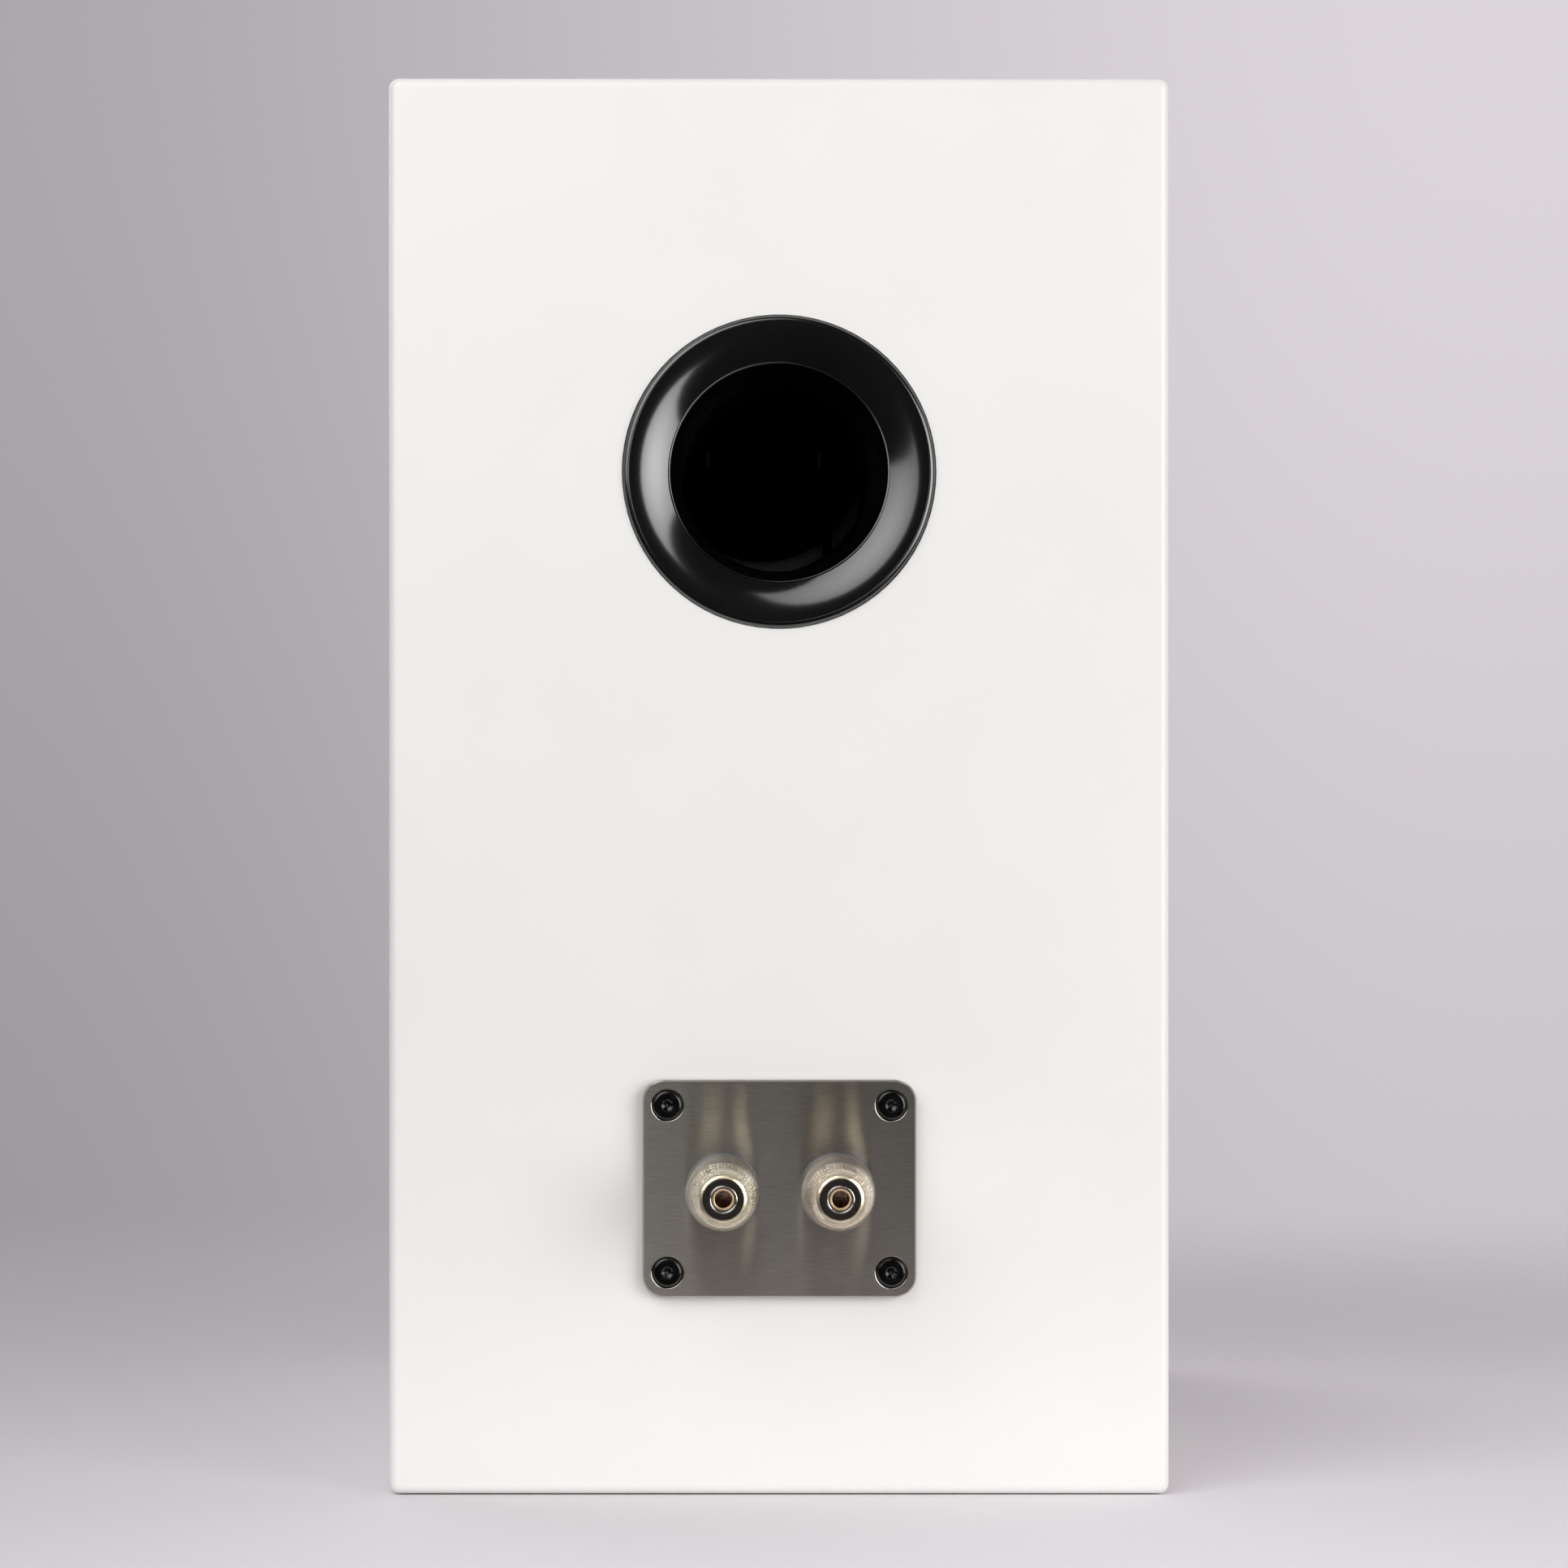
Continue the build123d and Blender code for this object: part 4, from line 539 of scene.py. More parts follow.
# %% Brushed steel and blackened steel
STROKE = (5 * MM, 2 * MM, 0.14 * MM)
FINE_STROKE = (2 * MM, 2 * MM, 0.09 * MM)
STROKE_DEPTH = 0.003 * MM
BRUSH_SMOOTH = 0.28
BRUSH_ROUGH = 0.35
SCREW_PLACE = (28.6 * MM, 0, 21.35 * MM)
RIM_INSIDE = 4.24 * MM
RIM_OUTSIDE = 4.3 * MM
RIM_POLISH = 0.25

plate_middle = centre_of("terminal_plate")
tree, shader = new_finish("plate_steel", metallic=1.0)
strokes = grain(tree, STROKE, detail=5.0)
tint(tree, shader, strokes, (0.43, 0.405, 0.358), (0.66, 0.622, 0.551), start=0.25, end=0.75)
pocket_distance = from_axis(tree, 1.0, SCREW_PLACE, fold=plate_middle)
polished = fade(tree, pocket_distance, RIM_INSIDE, RIM_OUTSIDE, RIM_POLISH, 1.0)
brushed = fade(tree, grain(tree, FINE_STROKE), NOISE_LOW, NOISE_HIGH, BRUSH_SMOOTH, BRUSH_ROUGH)
tree.links.new(product(tree, brushed, polished), shader.inputs["Roughness"])
relief(tree, shader, strokes, STROKE_DEPTH)
shader.inputs["Anisotropic"].default_value = 1.0
smear = tree.nodes.new("ShaderNodeCombineXYZ")
smear.inputs["Z"].default_value = 1.0
tree.links.new(smear.outputs["Vector"], shader.inputs["Tangent"])

mottled(
    "black_steel", dark=grey(0.001), pale=grey(0.003),
    size=2 * MM, smooth=0.12, rough=0.16, depth=0.001 * MM, ior=1.6,
)
print("plate and screws ready")

# %% [markdown]
# ## Metals of the posts
# The posts are turned brass with pale gold plating, bright silver at the tip, and a springy copper sleeve
# in a bore. Turned metal shows fine rings round its axis. Cut grooves would be far too fine, so a
# noise of the distance from the axis makes the rings, and the same distance tells the tip from the nut
# and paints shade down the copper bore, which is coloured darker inside its rim.
# Both posts share one finish: the coordinates are folded over the middle plane, so that one centre serves
# the two of them.

# %% Plated metals
AXIS_UNIT = 10 * MM
BORDER_WIDTH = 0.1 * MM
MIDDLE = (0, 0, 0)
LATHE_PITCH = 0.12 * MM
LATHE_DEPTH = 0.003 * MM
SIDE_MARK = (4 * MM, 0.12 * MM, 4 * MM)
PLATING_GRAIN = 1.2 * MM
BRIGHT_DEPTH = 0.05 * MM
DULL_DEPTH = 0.06 * MM
TIP_LIMIT = 3.65 * MM
TIP_SILVER = (0.9, 0.88, 0.83)

post_centre = centre_of("post_stud_negative")
post_axis = (abs(post_centre.x), 0, post_centre.z)


def turned_metal(name, inner, outer, limit, smooth, rough):
    """Lathe turned metal of the posts, in one colour inside a limit radius and another outside it."""
    tree, shader = new_finish(name, metallic=1.0)
    marks = rings(tree, LATHE_PITCH, post_axis, fold=MIDDLE)
    distance = from_axis(tree, AXIS_UNIT, post_axis, MIDDLE)
    tint(tree, shader, distance, inner, outer, limit / AXIS_UNIT, (limit + BORDER_WIDTH) / AXIS_UNIT)
    polish(tree, shader, marks, smooth, rough)
    relief(tree, shader, marks, LATHE_DEPTH)
    relief(tree, shader, grain(tree, SIDE_MARK, detail=1.0), LATHE_DEPTH)
    return tree, shader


tree, shader = turned_metal("gold_plate", TIP_SILVER, (0.98, 0.87, 0.6), TIP_LIMIT, smooth=0.1, rough=0.17)
relief(tree, shader, lumps(tree, PLATING_GRAIN, detail=1.0), BRIGHT_DEPTH)
tree, shader = turned_metal("gold_dull", TIP_SILVER, (0.97, 0.87, 0.62), TIP_LIMIT, smooth=0.27, rough=0.38)
relief(tree, shader, lumps(tree, PLATING_GRAIN, detail=1.0), DULL_DEPTH)
# Painted shade: the copper is coloured dark brown inside 2.13 mm, down the bore of the post.
turned_metal("spring_copper", (0.34, 0.15, 0.045), (0.86, 0.64, 0.4), 2.13 * MM, smooth=0.36, rough=0.46)
turned_metal("brass", (0.55, 0.4, 0.17), (0.72, 0.55, 0.27), 5 * MM, smooth=0.22, rough=0.36)
turned_metal("tinned_brass", (0.5, 0.49, 0.45), (0.66, 0.65, 0.6), 5 * MM, smooth=0.28, rough=0.4)
turned_metal("bright_steel", (0.42, 0.42, 0.43), (0.6, 0.6, 0.61), 6 * MM, smooth=0.2, rough=0.34)
print("plated metals ready")

# %% [markdown]
# ## Plastics of the posts
# A black ring ends each post, and clear polycarbonate covers the nut and the base. Pure glass would look
# too clean, as the real plastic is a little milky and its mould was uneven, so it glitters softly. One
# Principled shader does both: it lets most of the light through, and a faint relief bends it.

# %% Black rings and clear plastic
RING_SPECK = 0.3 * MM
RING_GRAIN = 1.2 * MM
PLASTIC_FLOW = (1.1 * MM, 3 * MM, 1.1 * MM)
FLOW_DEPTH = 0.04 * MM

tree, shader = new_finish("ring_plastic")
specks = lumps(tree, RING_SPECK, detail=1.0)
tint(tree, shader, specks, (0.01, 0.007, 0.004), (0.4, 0.38, 0.36), start=0.76, end=0.84)
shader.inputs["Specular IOR Level"].default_value = 0.25
polish(tree, shader, lumps(tree, RING_GRAIN), smooth=0.4, rough=0.55)


def clear_plastic(name, dark, pale):
    """Clear moulded plastic: most light goes through, a little is scattered, and uneven walls glitter."""
    tree, shader = new_finish(name, ior=1.58)
    flow = grain(tree, PLASTIC_FLOW)
    tint(tree, shader, flow, dark, pale)
    polish(tree, shader, flow, smooth=0.03, rough=0.07)
    relief(tree, shader, flow, FLOW_DEPTH)
    shader.inputs["Transmission Weight"].default_value = 0.86


clear_plastic("clear_positive", (0.92, 0.86, 0.87), (0.99, 0.95, 0.95))
clear_plastic("clear_negative", (0.9, 0.89, 0.87), (0.99, 0.98, 0.97))
print("post plastics ready")

# %% [markdown]
# ## Woofer
# The cone is pressed from dark paper pulp with faint press rings, the dust cap from a finer pulp, the
# frame is cast alloy under black powder paint, and the surround is rubber. Paper and powder are matt, so
# their detail is in the relief: fibres a millimetre long for the pulp, and small even lumps for the
# powder.

# %% Woofer finishes
PULP_FIBRE = 1.2 * MM
PULP_DEPTH = 0.08 * MM
PRESS_PITCH = 2.2 * MM
PRESS_DEPTH = 0.12 * MM
MOULD_PITCH = 0.7 * MM
MOULD_DEPTH = 0.03 * MM

woofer_axis = centre_of("woofer_cone")
woofer_centre = (woofer_axis.x, 0, woofer_axis.z)

tree, shader = new_finish("cone_paper")
pulp = lumps(tree, PULP_FIBRE, detail=4.0)
tint(tree, shader, pulp, dark=(0.012, 0.012, 0.013), pale=(0.034, 0.034, 0.035))
polish(tree, shader, pulp, smooth=0.55, rough=0.75)
relief(tree, shader, pulp, PULP_DEPTH)
relief(tree, shader, rings(tree, PRESS_PITCH, woofer_centre), PRESS_DEPTH)

tree, shader = mottled(
    "cap_paper", dark=(0.01, 0.01, 0.011), pale=(0.02, 0.02, 0.021),
    size=0.8 * MM, smooth=0.42, rough=0.55, depth=0.03 * MM, detail=3.0,
)
shader.inputs["Sheen Weight"].default_value = 0.15
tree, shader = mottled(
    "surround_rubber", dark=grey(0.008), pale=grey(0.014),
    size=3 * MM, smooth=0.5, rough=0.62, depth=0.01 * MM,
)
relief(tree, shader, rings(tree, MOULD_PITCH, woofer_centre), MOULD_DEPTH)
mottled(
    "basket_alloy", dark=grey(0.01), pale=grey(0.02),
    size=0.7 * MM, smooth=0.45, rough=0.6, depth=0.06 * MM,
)
mottled(
    "former_film", dark=(0.35, 0.16, 0.04), pale=(0.5, 0.25, 0.07),
    size=3 * MM, smooth=0.25, rough=0.4, depth=0.01 * MM,
)
mottled(
    "ferrite", dark=(0.03, 0.03, 0.032), pale=(0.06, 0.06, 0.062),
    size=0.6 * MM, smooth=0.6, rough=0.75, depth=0.05 * MM,
)
print("woofer finishes ready")

# %% [markdown]
# ## Cloth of the drivers
# The tweeter dome is coated silk and the spider is stiffened cotton. At arm's length neither shows its
# threads, but close up the weave catches the light. Two sets of bands at right angles make a plain weave,
# and the sum of both is its relief.

# %% Woven finishes
# The Wave texture counts 20 radians to a unit, so this scale makes one band to a unit.
WAVE_TURN = math.tau / 20
CLOTH_GRAIN = 2 * MM
WEAVE_START = 0.2
WEAVE_END = 1.0


def bands(tree, pitch, turn):
    """Straight thread bands of a pitch, turned in the XZ plane."""
    wave = tree.nodes.new("ShaderNodeTexWave")
    wave.inputs["Scale"].default_value = WAVE_TURN
    tree.links.new(place(tree, (pitch, FLAT, pitch), turn=turn), wave.inputs["Vector"])
    return wave.outputs["Fac"]


def woven(name, dark, pale, pitch, smooth, rough, depth):
    """Plain weave cloth with a thread pitch."""
    tree, shader = new_finish(name)
    total = tree.nodes.new("ShaderNodeMath")
    total.operation = "ADD"
    tree.links.new(bands(tree, pitch, (0, 0, 0)), total.inputs[0])
    tree.links.new(bands(tree, pitch, (0, math.radians(90), 0)), total.inputs[1])
    tint(tree, shader, total.outputs["Value"], dark, pale, WEAVE_START, WEAVE_END)
    polish(tree, shader, lumps(tree, CLOTH_GRAIN), smooth, rough)
    relief(tree, shader, total.outputs["Value"], depth)
    shader.inputs["Sheen Weight"].default_value = 0.25


woven(
    "dome_silk", dark=(0.012, 0.012, 0.013), pale=(0.028, 0.028, 0.03),
    pitch=0.3 * MM, smooth=0.4, rough=0.55, depth=0.03 * MM,
)
woven(
    "spider_cloth", dark=(0.3, 0.2, 0.09), pale=(0.5, 0.36, 0.18),
    pitch=0.6 * MM, smooth=0.75, rough=0.85, depth=0.08 * MM,
)
print("cloth ready")

# %% [markdown]
# ## Tweeter, crossover and wiring
# The tweeter's plate is turned and anodised black. The crossover inside holds copper coils, film
# capacitors and cement resistors on a brown board. Each gets its own grain, as a scene may open the
# cabinet.

# %% Remaining finishes
TURNING_PITCH = 0.25 * MM
TURNING_DEPTH = 0.006 * MM

tweeter_axis = centre_of("tweeter_faceplate")
tweeter_centre = (tweeter_axis.x, 0, tweeter_axis.z)

tree, shader = new_finish("faceplate_alloy", metallic=0.6)
turning = rings(tree, TURNING_PITCH, tweeter_centre)
tint(tree, shader, turning, dark=(0.014, 0.014, 0.015), pale=(0.026, 0.026, 0.028))
polish(tree, shader, turning, smooth=0.3, rough=0.42)
relief(tree, shader, turning, TURNING_DEPTH)

# Painted shade: the jackets are coloured darker than black plastic, so that leads seen down the port sink
# into its shade.
tree, shader = mottled(
    "wire_jacket", dark=grey(0.003), pale=grey(0.007),
    size=2 * MM, smooth=0.6, rough=0.7, depth=0.01 * MM,
)
shader.inputs["Specular IOR Level"].default_value = 0.2
mottled(
    "hardboard", dark=(0.16, 0.08, 0.035), pale=(0.26, 0.14, 0.065),
    size=1.2 * MM, smooth=0.6, rough=0.75, depth=0.04 * MM, detail=4.0,
)
mottled(
    "copper_wire", dark=(0.55, 0.22, 0.09), pale=(0.72, 0.34, 0.16),
    size=1.2 * MM, smooth=0.22, rough=0.32, depth=0.02 * MM, metallic=1.0,
)
mottled(
    "capacitor_film", dark=(0.45, 0.3, 0.05), pale=(0.6, 0.42, 0.09),
    size=4 * MM, smooth=0.3, rough=0.4, depth=0.01 * MM,
)
mottled(
    "resistor_ceramic", dark=(0.62, 0.6, 0.55), pale=(0.78, 0.76, 0.72),
    size=0.7 * MM, smooth=0.7, rough=0.85, depth=0.04 * MM,
)
print(len(finishes), "finishes")

# %% [markdown]
# ## Dress the solids
# Each solid of the frame is made of one material, and the record that comes with the frame names it.
# Materials could be dragged onto the pieces one by one in the viewport. A loop over the record does the
# same for all of them and forgets none.

# %% Dress the CAD nodes
for subpart in subparts:
    for holder in nodes[subpart["node"]].material_slots:
        holder.material = finishes[subpart["material_slot"]]
print("dressed", len(subparts), "nodes")

# %% [markdown]
# ## Lathe
# Most pieces of a loudspeaker are round. A cylinder primitive has no profile, and a Screw modifier stays
# live. Spinning a profile with bmesh gives clean rings of faces at once, which can then be picked out and
# knurled.

# %% Spin a profile round a Y axis
WELD_DISTANCE = 1e-7


def turned(outline, centre, steps, closed=True):
    """A bmesh spun from outline points (radius, y) round the Y axis through a centre."""
    shape = bmesh.new()
    points = [shape.verts.new((centre.x + radius, y, centre.z)) for radius, y in outline]
    lines = [shape.edges.new(pair) for pair in zip(points, points[1:])]
    if closed:
        lines.append(shape.edges.new((points[-1], points[0])))
    axis = Vector((centre.x, 0, centre.z))
    bmesh.ops.spin(
        shape, geom=points + lines, cent=axis, axis=(0, 1, 0), angle=math.tau, steps=steps, use_merge=True
    )
    bmesh.ops.remove_doubles(shape, verts=shape.verts, dist=WELD_DISTANCE)
    bmesh.ops.recalc_face_normals(shape, faces=shape.faces)
    return shape


def finish_piece(name, shape, slot, replaced, sharp=40.0):
    """A smooth piece with sharp edges above an angle, dressed from a slot, in place of a CAD node."""
    for face in shape.faces:
        face.smooth = True
    piece = new_object(name, shape)
    piece.data.set_sharp_from_angle(angle=math.radians(sharp))
    piece.data.materials.append(finishes[slot])
    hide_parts(replaced)
    print(name, len(piece.data.polygons), "faces")
    return piece


def radius_of(face, centre):
    """How far a face's middle is from the Y axis through a centre."""
    middle = face.calc_center_median()
    return math.hypot(middle.x - centre.x, middle.z - centre.z)


def steps_between(first, last, count):
    """Evenly spaced numbers from first to last, count steps apart."""
    return [first + (last - first) * step / count for step in range(count + 1)]


print("lathe ready")

# %% [markdown]
# ## Port mouth
# The mouth is a trumpet: a round bead on the panel, a small step, a polished curve inwards to a fine lip,
# and a tapered throat that takes the tube. The CAD mesh has the same outline but breaks its small curves
# into few flats, and a black mirror shows every one of them. The same outline, spun in many steps, gives
# clean highlights.

# %% Polished port mouth
BEAD_RADIUS = 1.3 * MM
BEAD_STEPS = 12
MOUTH_RADIUS = 38.5 * MM
MOUTH_STEP = 0.4 * MM
MOUTH_EDGE = 0.1 * MM
EDGE_STEPS = 4
FLARE_RADIUS = 19.6 * MM
FLARE_STEPS = 32
LIP_RADIUS = 28.4 * MM
LIP_WIDTH = 0.5 * MM
LIP_STEPS = 8
THROAT_RADIUS = 25.0 * MM
THROAT_DEPTH = 13.9 * MM
THROAT_LENGTH = 5.0 * MM
SOCKET_RADIUS = 27.6 * MM
COLLAR_RADIUS = 30.0 * MM
SEAT_THICKNESS = 2.5 * MM
SEAT_RADIUS = 36.0 * MM
SEAT_DEPTH = 3.3 * MM
PORT_STEPS = 192


def bow(middle, radius, first, last, count):
    """Points (radius, y) on a circle round a middle point, from one angle to another."""
    return [
        (middle[0] + radius * math.cos(angle), middle[1] + radius * math.sin(angle))
        for angle in steps_between(first, last, count)
    ]


QUARTER = math.pi / 2
port_centre = (port_low + port_high) / 2
port_rim = (port_high.x - port_low.x) / 2
crest = port_high.y
reach = math.asin((MOUTH_RADIUS - LIP_RADIUS) / FLARE_RADIUS)
flare_middle = (MOUTH_RADIUS, crest - MOUTH_STEP - FLARE_RADIUS)
bead_middle = (port_rim - BEAD_RADIUS, crest - BEAD_RADIUS)
edge_middle = (MOUTH_RADIUS + MOUTH_EDGE, crest - MOUTH_EDGE)
mouth_outline = bow(bead_middle, BEAD_RADIUS, 0.0, QUARTER, BEAD_STEPS)
mouth_outline += bow(edge_middle, MOUTH_EDGE, QUARTER, math.pi, EDGE_STEPS)
mouth_outline += bow(flare_middle, FLARE_RADIUS, QUARTER, QUARTER + reach, FLARE_STEPS)
lip_middle = (LIP_RADIUS - LIP_WIDTH / 2, mouth_outline[-1][1])
mouth_outline += bow(lip_middle, LIP_WIDTH / 2, 0.0, math.pi, LIP_STEPS)[1:]
throat = crest - THROAT_DEPTH
socket = throat - THROAT_LENGTH
mouth_outline += [
    (THROAT_RADIUS, throat),
    (THROAT_RADIUS, socket),
    (SOCKET_RADIUS, socket),
    (SOCKET_RADIUS, port_low.y),
    (COLLAR_RADIUS, port_low.y),
    (COLLAR_RADIUS, throat),
    (SEAT_RADIUS, crest - SEAT_DEPTH - SEAT_THICKNESS),
    (SEAT_RADIUS, crest - SEAT_DEPTH),
    (port_rim, crest - SEAT_DEPTH),
]
mouth_shape = turned(mouth_outline, port_centre, PORT_STEPS)
mouth = finish_piece("port_mouth_polished", mouth_shape, "port_plastic", "port_flare", sharp=30.0)
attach(mouth, "cabinet")

# %% [markdown]
# ## Nut cores
# Under each clear sleeve sits a metal nut: a rounded shoulder towards the tip, a dull knurled band that
# the plastic grips, a polished side below it and a toothed rim at the foot. The small facets throw back
# the light like cut glass, and bump would not sparkle through plastic, so they are real: the side is spun
# in rows, and each face of the band is poked up to a small pyramid, some of them lower than others. A spin
# leaves its faces in another order each run, so they are sorted by place and mixed with a fixed seed, and
# every run makes the same nut.

# %% Knurled nut cores
POLES = ("positive", "negative")
CORE_WALL = 7.15 * MM
CORE_MARGIN = 0.05 * MM
CORE_KNURL = 0.4 * MM
SHOULDER_KNURL = 0.16 * MM
KNURL_LENGTH = 8.5 * MM
KNURL_UNEVEN = 0.9
KNURL_STRIDE = 7
KNURL_CYCLE = 11
KNURL_SEED = 1
CORE_STEPS = 56
CORE_ROWS = 22
TIP_ROUND = 2.2 * MM
TIP_TURN = math.radians(72)
TIP_RISE = 0.12 * MM
TIP_STEPS = 6
TIP_LIP = 0.06 * MM
TIP_LIP_STEPS = 6
RIM_STEPS = 69
RIM_TOOTH = 0.22 * MM
RIM_MARGIN = 0.1 * MM
RIM_WALL = 7.4 * MM
RIM_THICKNESS = 2.5 * MM
MOUTH_WALL = 5.14 * MM
MOUTH_LENGTH = 11.0 * MM
THREAD_WALL = 4.08 * MM


def knurl(shape, faces, height, uneven=0.0):
    """Pokes faces up to pyramids of a height along their normals, some lower by an uneven share."""
    for order, face in enumerate(faces):
        share = 1.0 - uneven * (order * KNURL_STRIDE % KNURL_CYCLE) / (KNURL_CYCLE - 1)
        bmesh.ops.poke(shape, faces=[face], offset=height * share, center_mode="MEAN")


def mixed(faces, centre):
    """Faces round a Y axis through a centre in a mixed order, which is the same each run."""
    places = {}
    for face in faces:
        middle = face.calc_center_median()
        angle = math.atan2(middle.z - centre.z, middle.x - centre.x)
        places[round(middle.y, 5), round(angle, 3)] = face
    ordered = [places[place_key] for place_key in sorted(places)]
    random.Random(KNURL_SEED).shuffle(ordered)
    return ordered


def shoulder_middle(tip):
    """The middle (radius, y) of the round shoulder of a nut that ends at the y of its tip."""
    return (CORE_WALL - TIP_ROUND, tip - TIP_RISE - TIP_ROUND * math.sin(TIP_TURN))


for pole in POLES:
    low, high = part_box("nut_core_" + pole)
    centre = (low + high) / 2
    foot = low.y + RIM_THICKNESS
    shoulder = shoulder_middle(high.y)
    rows = [(CORE_WALL, y) for y in steps_between(foot, shoulder[1], CORE_ROWS)]
    tip = bow(shoulder, TIP_ROUND, 0.0, TIP_TURN, TIP_STEPS)[1:]
    tip += bow((MOUTH_WALL + TIP_LIP, high.y - TIP_LIP), TIP_LIP, TIP_TURN, math.pi, TIP_LIP_STEPS)
    bore = [
        (MOUTH_WALL, high.y - MOUTH_LENGTH),
        (THREAD_WALL, high.y - MOUTH_LENGTH),
        (THREAD_WALL, foot),
    ]
    core = turned(rows + tip + bore, centre, CORE_STEPS)
    upper = [face for face in core.faces if face.calc_center_median().y > high.y - KNURL_LENGTH]
    for face in upper:
        face.material_index = 1
    slope_start = shoulder[0] + TIP_ROUND / 2
    slope_end = CORE_WALL - CORE_MARGIN
    grip = [face for face in upper if radius_of(face, centre) > slope_end]
    slope = [face for face in upper if slope_start < radius_of(face, centre) < slope_end]
    knurl(core, mixed(grip, centre), CORE_KNURL, KNURL_UNEVEN)
    knurl(core, mixed(slope, centre), SHOULDER_KNURL, KNURL_UNEVEN)
    rim_outline = [(THREAD_WALL, low.y), (RIM_WALL, low.y), (RIM_WALL, foot), (THREAD_WALL, foot)]
    rim = turned(rim_outline, centre, RIM_STEPS)
    teeth = [face for face in rim.faces if radius_of(face, centre) > RIM_WALL - RIM_MARGIN]
    knurl(rim, teeth, RIM_TOOTH)
    rim_mesh = bpy.data.meshes.new("rim")
    rim.to_mesh(rim_mesh)
    rim.free()
    core.from_mesh(rim_mesh)
    bpy.data.meshes.remove(rim_mesh)
    nut = finish_piece("nut_core_knurled_" + pole, core, "gold_plate", "nut_core_" + pole, sharp=25.0)
    nut.data.materials.append(finishes["gold_dull"])
    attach(nut, "nut_" + pole)

# %% [markdown]
# ## Clear sleeves
# The sleeve is moulded over the nut without any air between them, and its outside is smooth and bellied
# for the fingers. A glass tube with a gap round the nut would show only mirror images in its bore, so the
# bore lies just under the surface of the nut and the metal shows through the plastic.

# %% Moulded sleeves
SLEEVE_STEPS = 72
SLEEVE_INSIDE = 0.05 * MM
SLEEVE_FOOT = 9.0 * MM
SLEEVE_BELLY = 9.45 * MM
SLEEVE_NOSE = 7.2 * MM
SLEEVE_COUNTER = 7.82 * MM
BELLY_HEIGHT = 6.4 * MM
BELLY_CURVE = 1.75
BELLY_STEPS = 12
COUNTER_DEPTH = 2.52 * MM
NOSE_ROUND = 0.6 * MM

for pole in POLES:
    low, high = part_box("nut_sleeve_" + pole)
    centre = (low + high) / 2
    belly = low.y + BELLY_HEIGHT
    step = low.y + COUNTER_DEPTH
    taper = []
    for part in steps_between(0.0, 1.0, BELLY_STEPS):
        radius = SLEEVE_BELLY - (SLEEVE_BELLY - SLEEVE_NOSE) * part ** BELLY_CURVE
        taper.append((radius, belly + (high.y - NOSE_ROUND - belly) * part))
    nose = [(SLEEVE_NOSE - NOSE_ROUND, high.y)]
    shoulder = shoulder_middle(high.y)
    inner = bow(shoulder, TIP_ROUND - SLEEVE_INSIDE, TIP_TURN, 0.0, TIP_STEPS)
    inner += [(CORE_WALL - SLEEVE_INSIDE, step)]
    foot = [(SLEEVE_COUNTER, step), (SLEEVE_COUNTER, low.y), (SLEEVE_FOOT, low.y)]
    sleeve = turned(foot + taper + nose + inner, centre, SLEEVE_STEPS)
    cover = finish_piece(
        "nut_sleeve_clear_" + pole, sleeve, "clear_" + pole, "nut_sleeve_" + pole, sharp=35.0
    )
    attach(cover, "nut_" + pole)

# %% [markdown]
# ## Surrounds
# The surrounds are thin half rolls that let cone and dome move while their rims stay put, so their inner
# edge follows the moving part and their outer edge the cabinet. A straight blend runs along a line, and
# here the change runs outwards all round, so the blend weight is set again from each point's radius.

# %% Rolled surrounds
ROLL_STEPS = 20
RUBBER_SHEET = 0.8 * MM
RUBBER_ROLL = 6.0 * MM
RUBBER_STEPS = 128
SILK_SHEET = 0.4 * MM
SILK_ROLL = 1.4 * MM
SILK_STEPS = 96
CONE_FLAT = 48.0 * MM
FLANGE_WIDTH = 6.5 * MM
DOME_HEM = 13.0 * MM


def arc(middle, seat, radius, first, last):
    """Points (radius, y) of an arc that bulges towards -Y, from one angle to another."""
    return [
        (middle - radius * math.cos(angle), seat - radius * math.sin(angle))
        for angle in steps_between(first, last, ROLL_STEPS)
    ]


def roll_outline(inner, outer, middle, roll, sheet, seat):
    """The closed outline of a half roll with a flat flange on both sides, on a seat."""
    lip = math.asin(sheet / (roll + sheet / 2))
    crown = arc(middle, seat, roll + sheet / 2, lip, math.pi - lip)
    hollow = arc(middle, seat, roll - sheet / 2, math.pi, 0.0)
    rim = [(outer, seat - sheet), (outer, seat)]
    return [(inner, seat - sheet)] + crown + rim + hollow + [(inner, seat)]


def soft_ring(piece, centre, moving, inner, outer):
    """Blends a ring between the cabinet at its outer radius and a moving body at its inner radius."""
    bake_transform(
        piece, "cabinet", moving, start=centre + Vector((outer, 0, 0)), end=centre + Vector((inner, 0, 0))
    )
    weights = piece.data.attributes["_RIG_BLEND"].data
    for vertex, weight in zip(piece.data.vertices, weights):
        radius = math.hypot(vertex.co.x - centre.x, vertex.co.z - centre.z)
        share = min(1.0, max(0.0, (outer - radius) / (outer - inner)))
        weight.value = share * share * (3.0 - 2.0 * share)


low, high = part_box("woofer_surround")
rubber_rim = (high.x - low.x) / 2
rubber_middle = rubber_rim - FLANGE_WIDTH - RUBBER_ROLL
outline = roll_outline(CONE_FLAT, rubber_rim, rubber_middle, RUBBER_ROLL, RUBBER_SHEET, high.y)
rubber_shape = turned(outline, woofer_axis, RUBBER_STEPS)
rubber = finish_piece("woofer_surround_roll", rubber_shape, "surround_rubber", "woofer_surround")
soft_ring(rubber, woofer_axis, "cone_unit", rubber_middle - RUBBER_ROLL, rubber_middle + RUBBER_ROLL)

